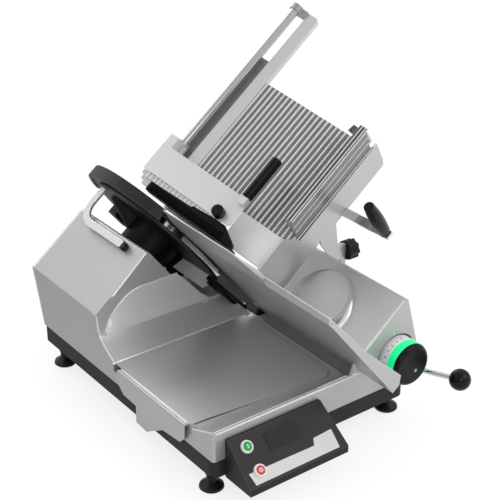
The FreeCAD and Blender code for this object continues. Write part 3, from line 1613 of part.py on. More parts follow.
def holder_comb():
    """Build the toothed comb that presses the food."""
    low_n = comb_low_n
    top = plate_n - holder_plate_thickness
    over_rail = rail_rod_n + rail_rod_radius + comb_lift
    web = box(comb_d, plate_low_d + lug_size, comb_near_a + soft_round, comb_far_a,
              top - comb_web_thickness, top)
    outline = [(comb_near_a, low_n), (comb_step_a, low_n), (comb_rise_a, over_rail), (comb_far_a, over_rail),
               (comb_far_a, top), (comb_near_a, top)]
    comb = prism_x(outline, comb_d, comb_d + comb_thickness)
    notches = []
    count = int((comb_far_a - comb_near_a) / comb_tooth_pitch)
    for index in range(count):
        centre = on_table(comb_d, comb_near_a + (index + 1 / 2) * comb_tooth_pitch, low_n - sink)
        notches.append(rod(centre, Z_AXIS, comb_tooth_depth / 2, top - low_n + 2 * sink))
    return to_table(joined([comb, web]).cut(Part.makeCompound(notches)))


def holder_grip():
    """Build the handle of the remnant holder."""
    start = on_table(plate_high_d, holder_grip_a, plate_n + lug_size / 2)
    bar = rod(start, X_AXIS, holder_grip_radius, holder_grip_length)
    ends = [edge for edge in bar.Edges if isinstance(edge.Curve, Part.Circle)]
    return to_table(bar.makeFillet(free_gap, ends))


def holder_knob():
    """Build the round knob that clamps the comb."""
    start = on_table(holder_knob_d, holder_knob_a, plate_n)
    knob = rod(start, Z_AXIS, holder_knob_radius, holder_knob_height)
    ends = [edge for edge in knob.Edges if edge.CenterOfMass.z > plate_n + holder_knob_height / 2 + sink]
    return to_table(knob.makeFillet(free_gap, [edge for edge in ends if isinstance(edge.Curve, Part.Circle)]))


NODES = {
    "base_pan": base_pan, "feet": feet, "foot_studs": foot_studs, "mains_inlet": mains_inlet,
    "housing": housing,
    "blade": blade, "blade_bolts": blade_bolts, "blade_cover": blade_cover, "cover_screw": cover_screw,
    "blade_shaft": blade_shaft, "bearing_neck": neck, "blade_bearings": bearings, "ring_guard": ring_guard,
    "guard_plate": guard_plate, "guard_strap": guard_strap,
    "strap_grommet": strap_grommet, "blade_pulley": blade_pulley, "motor_pulley": motor_pulley,
    "drive_belt": drive_belt, "motor": motor, "motor_carrier": motor_carrier,
    "deflector": deflector, "deflector_arm": deflector_arm, "hinge_pin": hinge_pin,
    "gauge_plate": gauge_plate, "gauge_rods": gauge_rods,
    "gauge_bushes": gauge_bushes, "yoke": yoke, "spiral_cam": spiral_cam, "dial_spindle": dial_spindle,
    "dial_bearing": dial_bearing, "scale_ring": scale_ring, "index_ring": index_ring, "dial_knob": dial_knob,
    "lever": lever, "lever_ball": lever_ball, "tray": tray, "tray_pins": tray_pins,
    "control_panel": control_panel,
    "start_button": lambda: button(0), "stop_button": lambda: button(1),
    "display_window": lambda: face_plate(window_left_x, window_right_x, window_near, window_far),
    "food_table": food_table, "lower_plate": lower_plate, "fence": fence,
    "carriage_wall": carriage_wall, "carriage_foot": carriage_foot, "carriage_rod": carriage_rod,
    "rod_brackets": rod_brackets, "lock_knob": lock_knob, "handle_bar": handle_bar,
    "handle_grip": handle_grip,
    "rail": rail, "rail_rod": rail_rod, "rail_cap": rail_cap,
    "holder_collars": holder_collars, "holder_plate": holder_plate, "holder_comb": holder_comb,
    "holder_grip": holder_grip, "holder_knob": holder_knob,
}

for name, make in NODES.items():
    save(make(), name)
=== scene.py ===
import json
import logging
import math
from dataclasses import dataclass, field
from enum import Enum
from typing import Callable, Sequence

import bmesh
import bpy
from mathutils import Matrix, Vector

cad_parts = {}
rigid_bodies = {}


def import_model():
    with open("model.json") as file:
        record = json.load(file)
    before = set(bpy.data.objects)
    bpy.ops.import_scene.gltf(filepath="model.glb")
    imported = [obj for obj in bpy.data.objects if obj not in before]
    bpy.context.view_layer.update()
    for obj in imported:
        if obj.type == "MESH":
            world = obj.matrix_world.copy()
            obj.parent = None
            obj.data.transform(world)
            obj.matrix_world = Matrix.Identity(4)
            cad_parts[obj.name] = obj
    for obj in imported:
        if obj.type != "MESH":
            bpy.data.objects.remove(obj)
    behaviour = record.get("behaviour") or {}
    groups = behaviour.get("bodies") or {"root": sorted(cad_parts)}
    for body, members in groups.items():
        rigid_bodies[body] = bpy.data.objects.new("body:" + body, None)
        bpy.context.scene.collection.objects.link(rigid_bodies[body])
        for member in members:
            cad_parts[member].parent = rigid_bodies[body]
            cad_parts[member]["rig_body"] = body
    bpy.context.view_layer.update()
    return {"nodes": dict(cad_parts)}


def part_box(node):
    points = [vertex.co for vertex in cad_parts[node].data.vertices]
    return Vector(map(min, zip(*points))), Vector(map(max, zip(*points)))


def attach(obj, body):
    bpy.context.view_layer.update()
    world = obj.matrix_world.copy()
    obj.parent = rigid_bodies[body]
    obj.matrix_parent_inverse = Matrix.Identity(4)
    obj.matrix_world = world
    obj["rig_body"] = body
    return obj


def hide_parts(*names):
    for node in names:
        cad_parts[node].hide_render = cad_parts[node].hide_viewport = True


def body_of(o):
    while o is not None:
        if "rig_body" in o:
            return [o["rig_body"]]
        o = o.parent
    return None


Socket = bpy.types.NodeSocket
Thing = bpy.types.Object
Work = bmesh.types.BMesh
Colour = tuple[float, float, float]
Pairs = Sequence[tuple[float, float]]

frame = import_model()

log = logging.getLogger("slicer")

MM = 0.001
TILT = math.radians(38.4)
TABLE_TILT = math.radians(20.0)
GROUND = Matrix.Translation((0.0, 0.0, -0.014))
BLADE_TURN = GROUND @ Matrix.Rotation(-TILT, 4, "Y")
TABLE_TURN = BLADE_TURN @ Matrix.Rotation(TABLE_TILT, 4, "X")
ACROSS = Matrix(((0, 0, 1, 0), (1, 0, 0, 0), (0, 1, 0, 0), (0, 0, 0, 1)))
TO_FRONT = Matrix.Rotation(math.pi / 2, 4, "X")
TO_LEFT = Matrix.Rotation(-math.pi / 2, 4, "Y")
BLADE_Y = 233.7
BLADE_V = 177.0
# Face marks that the finishes read: edge faces are painted paler, as wear and painted highlight; groove faces
# are painted darker, as painted shade.
EDGE_MARK = "edge"
GROOVE_MARK = "groove"
FACING = "facing"


def in_blade(d: float, y: float, v: float) -> Vector:
    """Return the point at d, y, v of the tilted blade frame, given in millimetres."""
    return BLADE_TURN @ (Vector((d, y, v)) * MM)


def in_table(d: float, a: float, n: float) -> Vector:
    """Return the point at d, a, n of the food table's frame, given in millimetres."""
    return TABLE_TURN @ (Vector((d, a, n)) * MM)


def in_body(x: float, y: float, z: float) -> Vector:
    """Return the point at x, y, z of the upright frame, given in millimetres."""
    return GROUND @ (Vector((x, y, z)) * MM)


def shift(x: float, y: float, z: float) -> Matrix:
    """Return a move given in millimetres."""
    return Matrix.Translation(Vector((x, y, z)) * MM)


def crosswise(turn: Matrix, place: float) -> Matrix:
    """Return the seat for an outline in a frame's second and third axes, at a place on its first."""
    return turn @ shift(place, 0, 0) @ ACROSS


def rider(node: str) -> str:
    """Return the body that carries a solid."""
    return body_of(frame["nodes"][node])[0]


DIAL_CENTRE = tuple(in_blade(237.0, 0.0, 0.0))


class Grain(Enum):
    """The direction in which a metal face was brushed or turned."""

    BLASTED = "blasted"
    ALONG_D = "along_d"
    ALONG_Y = "along_y"
    TURNED_BLADE = "turned_blade"


class Nodes:
    """Adds nodes to one node tree."""

    def __init__(self, tree: bpy.types.NodeTree) -> None:
        """Take a tree over.

        Args:
            tree: The tree that receives the nodes.
        """
        self.tree = tree

    def add(self, kind: str, links: dict | None = None, **settings: object) -> bpy.types.Node:
        """Add a node, set its properties and connect or fill its inputs.

        Args:
            kind: The node type.
            links: Input name or index to a socket or a plain value.
            **settings: Properties of the node.

        Returns:
            The new node.
        """
        node = self.tree.nodes.new(kind)
        for key, value in settings.items():
            setattr(node, key, value)
        for key, value in (links or {}).items():
            if isinstance(value, Socket):
                self.tree.links.new(value, node.inputs[key])
            else:
                node.inputs[key].default_value = value
        return node

    def math(self, operation: str, first: object, second: object = 0.0) -> Socket:
        """Return one arithmetic step of two values."""
        return self.add("ShaderNodeMath", {0: first, 1: second}, operation=operation).outputs[0]

    def vector(self, x: object = 0.0, y: object = 0.0, z: object = 0.0) -> Socket:
        """Return three values as one vector."""
        return self.add("ShaderNodeCombineXYZ", {0: x, 1: y, 2: z}).outputs[0]

    def split(self, vector: Socket) -> bpy.types.bpy_prop_collection:
        """Return a vector's X, Y and Z."""
        return self.add("ShaderNodeSeparateXYZ", {0: vector}).outputs


class Desk(Nodes):
    """Lays out the nodes of one material."""

    def __init__(self, name: str) -> None:
        """Start an empty material with one principled shader.

        Args:
            name: The material's name.
        """
        self.material = bpy.data.materials.new(name)
        self.material.use_nodes = True
        super().__init__(self.material.node_tree)
        self.tree.nodes.clear()
        self.shader = self.add("ShaderNodeBsdfPrincipled")
        self.add("ShaderNodeOutputMaterial", {"Surface": self.shader.outputs["BSDF"]})
        self.place = self.add("ShaderNodeTexCoord").outputs["Object"]

    def feed(self, **values: object) -> None:
        """Connect sockets to the shader, or set plain values on it, by input name with underscores."""
        for label, value in values.items():
            entry = self.shader.inputs[label.replace("_", " ")]
            if isinstance(value, Socket):
                self.tree.links.new(value, entry)
            else:
                entry.default_value = value

    def noise(self, vector: Socket, scale: float, detail: float = 3.0) -> Socket:
        """Return a soft noise between 0 and 1."""
        links = {"Vector": vector, "Scale": scale, "Detail": detail}
        return self.add("ShaderNodeTexNoise", links).outputs["Fac"]

    def spread(self, value: Socket, low: float, high: float, start: float = 0.3, end: float = 0.7) -> Socket:
        """Stretch the middle of a noise to a new range.

        Args:
            value: The noise.
            low: The result where the noise is at start.
            high: The result where the noise is at end.
            start: The noise that gives low.
            end: The noise that gives high.

        Returns:
            The stretched value.
        """
        links = {"Value": value, "From Min": start, "From Max": end, "To Min": low, "To Max": high}
        return self.add("ShaderNodeMapRange", links).outputs["Result"]

    def tint(self, factor: Socket, first: object, second: object) -> Socket:
        """Blend two colours, each a socket or plain, by a factor."""
        first, second = (side if isinstance(side, Socket) else (*side, 1.0) for side in (first, second))
        return self.add("ShaderNodeMix", {0: factor, 6: first, 7: second}, data_type="RGBA").outputs[2]

    def bump(self, height: Socket, strength: float, distance: float) -> Socket:
        """Turn a height pattern into a bumped normal, with the height in metres."""
        links = {"Height": height, "Strength": strength, "Distance": distance}
        return self.add("ShaderNodeBump", links).outputs["Normal"]

    def marked(self, name: str) -> Socket:
        """Return a value stored on the mesh, or 0 where it is missing."""
        return self.add("ShaderNodeAttribute", attribute_name=name, attribute_type="GEOMETRY").outputs["Fac"]

    def grain(self, direction: Grain) -> Socket:
        """Return coordinates in which the brushed lines of a direction are fine across and long along."""
        if direction is Grain.BLASTED:
            return self.place
        if direction is Grain.TURNED_BLADE:
            return self.turned()
        across = {Grain.ALONG_D: (0.02, 1.0, 1.0), Grain.ALONG_Y: (1.0, 0.02, 1.0)}[direction]
        return self.add("ShaderNodeVectorMath", {0: self.level(), 1: across}, operation="MULTIPLY").outputs[0]

    def level(self, centre: Sequence[float] = (0.0, 0.0, 0.0)) -> Socket:
        """Return the coordinates after a turn about a point that lays the blade's frame level."""
        links = {"Vector": self.place, "Center": centre, "Angle": TILT}
        return self.add("ShaderNodeVectorRotate", links, rotation_type="Y_AXIS").outputs[0]

    def turned(self) -> Socket:
        """Return coordinates that run with the radius about the blade's axis."""
        centre = in_blade(0, BLADE_Y, BLADE_V)
        offset = self.add("ShaderNodeVectorMath", {0: self.level(centre), 1: centre}, operation="SUBTRACT")
        parts = self.split(offset.outputs[0])
        first, second = parts[1], parts[2]
        squares = self.math("ADD", self.math("MULTIPLY", first, first), self.math("MULTIPLY", second, second))
        angle = self.math("MULTIPLY", self.math("ARCTAN2", first, second), 0.004)
        return self.vector(self.math("SQRT", squares), angle)


def toward(colour: Colour, target: float, share: float) -> Colour:
    """Move a colour part of the way to an even grey."""
    return tuple(part + (target - part) * share for part in colour)


@dataclass(frozen=True)
class Finish:
    """A look with its own material, and the slot that it goes to."""

    name: str
    slot: str
    colour: Colour
    roughness: float

    def material(self) -> bpy.types.Material:
        """Return the finish as a node material."""
        raise NotImplementedError


@dataclass(frozen=True)
class Metal(Finish):
    """A bare metal finish with its grain, clouding, paler rounded edges that stand for wear and painted
    highlight, and painted shade where a groove mark is set.
    """

    grain: Grain = Grain.BLASTED
    grain_scale: float = 1400.0
    grain_depth: float = 0.00002
    grain_strength: float = 0.25
    clouding: float = 0.02
    tone_shift: float = 0.03
    # edge_shine: how far marked edges go towards pale grey, as wear and painted highlight.
    edge_shine: float = 0.45
    # groove_shade: how far marked grooves and hollows are darkened, as painted shade.
    groove_shade: float = 0.0
    metal: float = 0.6

    def material(self) -> bpy.types.Material:
        """Return the finish as a node material."""
        desk = Desk(self.name)
        lines = desk.noise(desk.grain(self.grain), self.grain_scale, 4.0)
        clouds = desk.noise(desk.place, 9.0, 3.0)
        patches = desk.noise(desk.place, 46.0, 2.0)
        edge = desk.marked(EDGE_MARK)
        light = tuple(min(1.0, part * (1 + self.tone_shift)) for part in self.colour)
        dark = toward(self.colour, 0.0, self.tone_shift)
        base = desk.tint(desk.spread(lines, 0.0, 1.0), dark, light)
        shaded = desk.tint(desk.spread(clouds, 0.0, 0.25), base, dark)
        # Painted shade: faces with the groove mark are darkened.
        if self.groove_shade:
            shaded = desk.tint(desk.marked(GROOVE_MARK), shaded, toward(self.colour, 0.0, self.groove_shade))
        rough = desk.spread(clouds, self.roughness - self.clouding, self.roughness + self.clouding)
        rough = desk.math("ADD", rough, desk.spread(patches, -0.008, 0.008))
        rough = desk.math("ADD", rough, desk.spread(lines, -0.03, 0.03))
        # Wear and painted highlight: faces with the edge mark are made paler and smoother.
        desk.feed(Base_Color=desk.tint(edge, shaded, toward(self.colour, 0.9, self.edge_shine)),
                  Roughness=desk.math("MULTIPLY", rough, desk.spread(edge, 1.0, 0.7, 0.0, 1.0)),
                  Metallic=self.metal, Normal=desk.bump(lines, self.grain_strength, self.grain_depth))
        return desk.material


@dataclass(frozen=True)
class Moulded(Finish):
    """A plastic, rubber or painted finish with a fine pebbled face."""

    pebble_scale: float = 1500.0
    pebble_depth: float = 0.00004
    pebble_strength: float = 0.2
    coat: float = 0.0
    dust: float = 0.05
    # edge_lift: how far marked edges go towards grey, as wear and painted highlight.
    edge_lift: float = 0.04
    shine: float = 0.3
    # glow: emission that makes the part shine by itself, painted light.
    glow: float = 0.0

    def material(self) -> bpy.types.Material:
        """Return the finish as a node material."""
        desk = Desk(self.name)
        pebbles = desk.noise(desk.place, self.pebble_scale, 2.0)
        clouds = desk.noise(desk.place, 14.0, 4.0)
        base = desk.tint(desk.spread(clouds, 0.0, 1.0), self.colour, toward(self.colour, 0.5, self.dust))
        # Marked edges are paler: wear and painted highlight.
        rubbed_and_lit = toward(self.colour, 0.6, self.edge_lift)
        desk.feed(Base_Color=desk.tint(desk.marked(EDGE_MARK), base, rubbed_and_lit),
                  Roughness=desk.spread(clouds, self.roughness - 0.05, self.roughness + 0.06),
                  Coat_Weight=self.coat, Coat_Roughness=0.12, Specular_IOR_Level=self.shine,
                  Emission_Color=(*self.colour, 1.0), Emission_Strength=self.glow,
                  Normal=desk.bump(pebbles, self.pebble_strength, self.pebble_depth))
        return desk.material


@dataclass(frozen=True)
class Ink(Finish):
    """A thin printed mark."""

    def material(self) -> bpy.types.Material:
        """Return the finish as a node material."""
        desk = Desk(self.name)
        speckle = desk.spread(desk.noise(desk.place, 2600.0, 2.0), 0.0, 1.0)
        desk.feed(Base_Color=desk.tint(speckle, self.colour, toward(self.colour, 0.5, 0.1)),
                  Roughness=self.roughness)
        return desk.material


@dataclass(frozen=True)
class Lens(Finish):
    """A dark, dull window."""

    def material(self) -> bpy.types.Material:
        """Return the finish as a node material."""
        desk = Desk(self.name)
        smears = desk.noise(desk.place, 60.0, 5.0)
        lighter = tuple(part + 0.006 for part in self.colour)
        desk.feed(Base_Color=desk.tint(desk.spread(smears, 0.0, 1.0), self.colour, lighter),
                  Roughness=desk.spread(smears, self.roughness, self.roughness + 0.08),
                  Specular_IOR_Level=0.15)
        return desk.material


def grey(value: float) -> Colour:
    """Return an even grey."""
    return (value, value, value)


CAST_GRAIN = {"grain_scale": 900.0, "grain_strength": 0.16}
BEAD_GRAIN = {"grain_scale": 900.0, "grain_strength": 0.10}
# The cast body's rounded edges get a strongly paler colour: wear and painted highlight.
CAST = Metal("cast_satin", "cast_body", grey(0.52), 0.40, **CAST_GRAIN, edge_shine=0.8)
# A paler, less metallic copy of the cast finish for the sweep's face: painted light.
SWEEP = Metal("cast_sweep", "cast_body", grey(0.78), 0.36, **CAST_GRAIN, metal=0.45)
# Paler copies of the cast finish for the bright beads and streaks along edges: painted highlight.
BEAD = Metal("cast_bead", "cast_body", grey(0.86), 0.30, **BEAD_GRAIN, metal=0.5)
SHINE = Metal("cast_shine", "cast_body", grey(0.95), 0.28, **BEAD_GRAIN, metal=0.1)
# The hollow slope's marked streak along the rim is paler (painted highlight) and its marked cove by the gauge
# is darker (painted shade).
SLOPE = Metal("cast_hollow", "cast_body", grey(0.52), 0.36, **CAST_GRAIN, edge_shine=0.9, groove_shade=0.7)
ALU_D = Metal("anodised_along_d", "bright_alu", grey(0.38), 0.36, Grain.ALONG_D)
ALU_Y = Metal("anodised_along_y", "bright_alu", grey(0.53), 0.36, Grain.ALONG_Y)
ALU_PLATE = Metal("anodised_plate", "bright_alu", grey(0.60), 0.34, Grain.ALONG_D)
# The table's rib crowns are paler (painted highlight) and the plate between the ribs is darker (painted
# shade).
RIBBED = Metal("ribbed_table", "ribbed_alu", grey(0.58), 0.30, Grain.ALONG_D, edge_shine=0.85,
               groove_shade=0.62)
FENCE = Metal("fence_dull", "bright_alu", grey(0.24), 0.34, Grain.ALONG_D, edge_shine=0.75)
# A near-white, barely metallic copy of the bright aluminium, for lit faces and bright edge lines: painted
# light.
LOWER = Metal("lower_plate_painted_light", "bright_alu", grey(0.96), 0.30, Grain.ALONG_D, edge_shine=0.2, metal=0.12)
PRESS = Metal("holder_satin", "bright_alu", grey(0.74), 0.32, Grain.ALONG_Y, edge_shine=0.3, metal=0.5)
# The rail's marked sunk web is darker: painted shade.
RAIL = Metal("rail_satin", "bright_alu", grey(0.68), 0.32, Grain.ALONG_D, groove_shade=0.62, metal=0.5)
WALL = Metal("wall_satin", "bright_alu", grey(0.55), 0.32, Grain.ALONG_D)
BLADE_STEEL = Metal("blade_ground", "blade_steel", grey(0.60), 0.22, Grain.TURNED_BLADE, grain_scale=2600.0)
STEEL = Metal("zinced_steel", "steel", grey(0.45), 0.35)
POLISHED = Metal("polished_steel", "polished_steel", grey(0.66), 0.14, grain_strength=0.05, metal=1.0)
TRAY_STEEL = Metal("brushed_tray", "tray_steel", grey(0.56), 0.34, Grain.ALONG_Y, grain_scale=1800.0)
# A pale copy of the polished steel for the deflector's bright lip: painted highlight.
LIP = Metal("deflector_lip", "polished_steel", grey(0.92), 0.3, metal=0.3)
BRASS = Metal("bearing_brass", "brass", (0.62, 0.45, 0.22), 0.30, metal=1.0)
PANEL = Moulded("panel_paint", "panel_grey", grey(0.018), 0.42, pebble_scale=2200.0, dust=0.01, shine=0.2,
                edge_lift=0.12)
BLACK_CAST = Moulded("black_coat", "black_cast", grey(0.006), 0.40, dust=0.005, shine=0.12, edge_lift=0.03)
GUARD_CAST = Moulded("guard_coat", "black_cast", grey(0.014), 0.42, dust=0.02, shine=0.25, edge_lift=0.06)
BLACK = Moulded("black_moulding", "black_plastic", grey(0.005), 0.40, dust=0.005, shine=0.12, edge_lift=0.03)
KNOB = Moulded("knob_moulding", "knob_plastic", grey(0.005), 0.26, pebble_scale=1200.0, dust=0.005,
               shine=0.18)
PAN = Moulded("pan_moulding", "pan_plastic", grey(0.020), 0.50, pebble_scale=900.0, dust=0.02, shine=0.2)
RUBBER = Moulded("foot_rubber", "foot_rubber", grey(0.006), 0.35, pebble_scale=700.0, dust=0.01)
BELT = Moulded("belt_rubber", "belt_rubber", grey(0.02), 0.7, pebble_scale=700.0)
WHITE = Moulded("scale_white", "scale_white", grey(0.86), 0.38, dust=0.0)
# The green ring and, faintly, the two buttons are given emission: painted glow.
GREEN = Moulded("ring_green", "ring_green", (0.0, 0.78, 0.27), 0.22, coat=0.4, dust=0.0, glow=0.48)
START_GREEN = Moulded("button_green", "button_green", (0.005, 0.34, 0.05), 0.3, coat=0.3, dust=0.0, glow=0.12)
STOP_RED = Moulded("button_red", "button_red", (0.62, 0.045, 0.06), 0.3, coat=0.3, dust=0.0, glow=0.12)
WINDOW = Lens("display_glass", "window", grey(0.012), 0.35)
BLACK_INK = Ink("scale_ink", "black_plastic", grey(0.02), 0.5)
WHITE_INK = Ink("white_mark", "scale_white", grey(0.85), 0.5)
LABEL = Moulded("label_foil", "scale_white", grey(0.66), 0.4, dust=0.02)

_made: dict[str, bpy.types.Material] = {}


def material_of(finish: Finish) -> bpy.types.Material:
    """Return a finish's material, made once."""
    if finish.name not in _made:
        _made[finish.name] = finish.material()
    return _made[finish.name]


def add_object(name: str, data: bpy.types.ID) -> Thing:
    """Put a mesh or a curve into the scene at the origin."""
    thing = bpy.data.objects.new(name, data)
    bpy.context.scene.collection.objects.link(thing)
    return thing


def settled(thing: Thing) -> None:
    """Turn an object's modifiers into plain mesh."""
    graph = bpy.context.evaluated_depsgraph_get()
    mesh = bpy.data.meshes.new_from_object(thing.evaluated_get(graph), preserve_all_data_layers=True,
                                           depsgraph=graph)
    thing.modifiers.clear()
    thing.data = mesh


def mesh_from(name: str, make: Callable[[Work], None]) -> Thing:
    """Build an object from a function that fills a bmesh.

    Args:
        name: The object's name.
        make: The function that adds the geometry.

    Returns:
        The object, with its normals pointing outwards.
    """
    work = bmesh.new()
    make(work)
    bmesh.ops.remove_doubles(work, verts=work.verts, dist=1e-7)
    bmesh.ops.recalc_face_normals(work, faces=work.faces)
    mesh = bpy.data.meshes.new(name)
    work.to_mesh(mesh)
    work.free()
    return add_object(name, mesh)


def smooth_by_angle(thing: Thing, degrees: float = 35.0) -> Thing:
    """Shade an object smooth, with sharp edges above an angle."""
    thing.data.shade_smooth()
    thing.data.set_sharp_from_angle(angle=math.radians(degrees))
    return thing


def mark_faces(mesh: bpy.types.Mesh, name: str, marks: Sequence[float]) -> None:
    """Store one value for each face, for a finish to read."""
    mesh.attributes.new(name, "FLOAT", "FACE").data.foreach_set("value", marks)


def skin(work: Work, rows: Sequence[Sequence[bmesh.types.BMVert]], closed: bool = True,
         capped: bool = False) -> None:
    """Join rows of equally many vertices by faces.

    Args:
        work: The bmesh that receives the faces.
        rows: The rows, one after the other.
        closed: Whether the last vertex of each row joins its first.
        capped: Whether the first and the last row are faced over.
    """
    count = len(rows[0])
    for before, after in zip(rows, rows[1:]):
        for index in range(count if closed else count - 1):
            other = (index + 1) % count
            corners = dict.fromkeys((before[index], before[other], after[other], after[index]))
            if len(corners) > 2:
                work.faces.new(list(corners))
    if capped:
        work.faces.new(rows[0])
        work.faces.new(list(reversed(rows[-1])))


def woven(name: str, rows: Sequence[Sequence[Vector]], closed: bool = True, capped: bool = False) -> Thing:
    """Build an object from rows of equally many points in metres, joined as skin does it."""
    def fill(work: Work) -> None:
        """Set the points and join them."""
        skin(work, [[work.verts.new(spot) for spot in row] for row in rows], closed, capped)

    return mesh_from(name, fill)


def turned_ring(work: Work, profile: Pairs, matrix: Matrix, steps: int) -> None:
    """Turn a closed or axis-bound profile about Z and place it.

    Args:
        work: The bmesh that receives the faces.
        profile: Radius and height pairs in millimetres.
        matrix: The place of the turned piece.
        steps: How many facets go round.
    """
    rows = []
    for radius, height in profile:
        if radius == 0:
            rows.append([work.verts.new(matrix @ Vector((0, 0, height * MM)))] * steps)
            continue
        angles = (2 * math.pi * step / steps for step in range(steps))
        spots = (Vector((radius * math.cos(turn), radius * math.sin(turn), height)) for turn in angles)
        rows.append([work.verts.new(matrix @ (spot * MM)) for spot in spots])
    skin(work, rows)


def flat_piece(work: Work, outline: Pairs, height: float, matrix: Matrix) -> None:
    """Raise a flat outline of x, y points in millimetres by a height and place it."""
    rows = [[work.verts.new(matrix @ (Vector((x, y, z)) * MM)) for x, y in outline] for z in (0, height)]
    skin(work, rows, capped=True)


def round_bar(work: Work, path: Sequence[Vector], radius: float, sides: int) -> None:
    """Draw a round bar through points in metres, with a radius in millimetres."""
    rows = []
    for index, spot in enumerate(path):
        ahead = path[min(index + 1, len(path) - 1)] - path[max(index - 1, 0)]
        across = ahead.cross(Vector((0.3, 0.2, 1.0))).normalized()
        upward = across.cross(ahead).normalized()
        angles = (2 * math.pi * step / sides for step in range(sides))
        rows.append([work.verts.new(spot + (across * math.cos(turn) + upward * math.sin(turn)) * radius * MM)
                     for turn in angles])
    skin(work, rows, capped=True)


@dataclass
class SubAssembly:
    """A group of pieces that belong together on the machine."""

    title: str
    made: list[str] = field(default_factory=list)

    def build(self) -> None:
        """Build and dress every piece of the group."""
        raise NotImplementedError

    def keep(self, thing: Thing, finish: Finish, body: str, *nodes: str) -> Thing:
        """Dress a finished piece and let it ride on a body.

        Args:
            thing: The piece, in place.
            finish: Its finish.
            body: The body that it moves with.
            *nodes: The solids that it replaces.

        Returns:
            The piece.
        """
        thing.data.materials.clear()
        thing.data.materials.append(material_of(finish))
        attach(thing, body)
        self.made.append(thing.name)
        if nodes:
            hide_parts(*nodes)
        return thing

    def turned(self, name: str, profile: Pairs, seat: Matrix, finish: Finish, body: str, *nodes: str,
               steps: int = 48, smooth: bool = True) -> None:
        """Keep a piece that is turned about its seat's Z from radius and height pairs."""
        thing = mesh_from(name, lambda work: turned_ring(work, profile, seat, steps))
        self.keep(smooth_by_angle(thing) if smooth else thing, finish, body, *nodes)

    def plate(self, name: str, outline: Pairs, height: float, seat: Matrix, finish: Finish, body: str,
              *nodes: str) -> None:
        """Keep a flat piece that is raised from an outline on its seat."""
        self.keep(mesh_from(name, lambda work: flat_piece(work, outline, height, seat)), finish, body, *nodes)

    def dress(self, finish: Finish, *nodes: str) -> None:
        """Give solids their finish and leave their shape."""
        for node in nodes:
            thing = frame["nodes"][node]
            material = material_of(finish)
            if thing.material_slots:
                for place in thing.material_slots:
                    place.material = material
            else:
                thing.data.materials.append(material)
            self.made.append(node)

    def soften(self, finish: Finish, *nodes: str, width: float, main: float | None = None) -> None:
        """Replace solids by copies whose sharp edges are rounded and marked for a paler colour, as wear and
        painted highlight.

        Args:
            finish: The finish of the copies.
            *nodes: The solids.
            width: The rounding in metres.
            main: The rounding of the long edges, where it is larger.
        """
        for node in nodes:
            work = bmesh.new()
            work.from_mesh(frame["nodes"][node].data)
            bmesh.ops.remove_doubles(work, verts=work.verts, dist=2e-6)
            bmesh.ops.dissolve_limit(work, angle_limit=math.radians(0.4), verts=work.verts, edges=work.edges)
            if main:
                self.weigh_long_edges(work)
            mesh = bpy.data.meshes.new(node + "_skin")
            work.to_mesh(mesh)
            work.free()
            thing = add_object(node + "_skin", mesh)
            for _ in range(2):
                mesh.materials.append(material_of(finish))
            mesh.polygons.foreach_set("material_index", [0] * len(mesh.polygons))
            smooth_by_angle(thing, 28.0)
            if main:
                self.rounded(thing, main, 4, limit_method="WEIGHT", use_clamp_overlap=False)
            self.rounded(thing, width, 2, limit_method="ANGLE", angle_limit=math.radians(28.0),
                         miter_outer="MITER_ARC", use_clamp_overlap=True)
            thing.modifiers.new("even", "WEIGHTED_NORMAL").keep_sharp = False
            settled(thing)
            self.mark_edges(thing.data)
            self.keep(thing, finish, rider(node), node)

    @staticmethod
    def rounded(thing: Thing, width: float, segments: int, **settings: object) -> None:
        """Add a rounding whose faces carry the second material."""
        bevel = thing.modifiers.new("round", "BEVEL")
        bevel.width, bevel.segments, bevel.material = width, segments, 1
        for key, value in settings.items():
            setattr(bevel, key, value)

    @staticmethod
    def weigh_long_edges(work: Work, shortest: float = 0.045, angle: float = 24.0) -> None:
        """Weigh the long outer edges of the cast body, for the larger rounding, fully on the rear block.

        Args:
            work: The solid.
            shortest: The shortest edge that counts, in metres.
            angle: The smallest angle between its faces, in degrees.
        """
        layer = work.edges.layers.float.new("bevel_weight_edge")
        for edge in work.edges:
            middle = (edge.verts[0].co + edge.verts[1].co) / 2
            near_boss = middle.x > 0.095 and middle.y > -0.23
            if len(edge.link_faces) != 2 or edge.calc_length() < shortest or middle.z < 0.1 or near_boss:
                continue
            if edge.is_convex and edge.calc_face_angle() > math.radians(angle):
                edge[layer] = 1.0 if middle.y > 0.06 else 0.52

    @staticmethod
    def mark_edges(mesh: bpy.types.Mesh) -> None:
        """Store which faces are rounded edges, for the finish to lighten as wear and painted highlight."""
        mark_faces(mesh, EDGE_MARK, [float(face.material_index) for face in mesh.polygons])
        mesh.polygons.foreach_set("material_index", [0] * len(mesh.polygons))
        mesh.update()


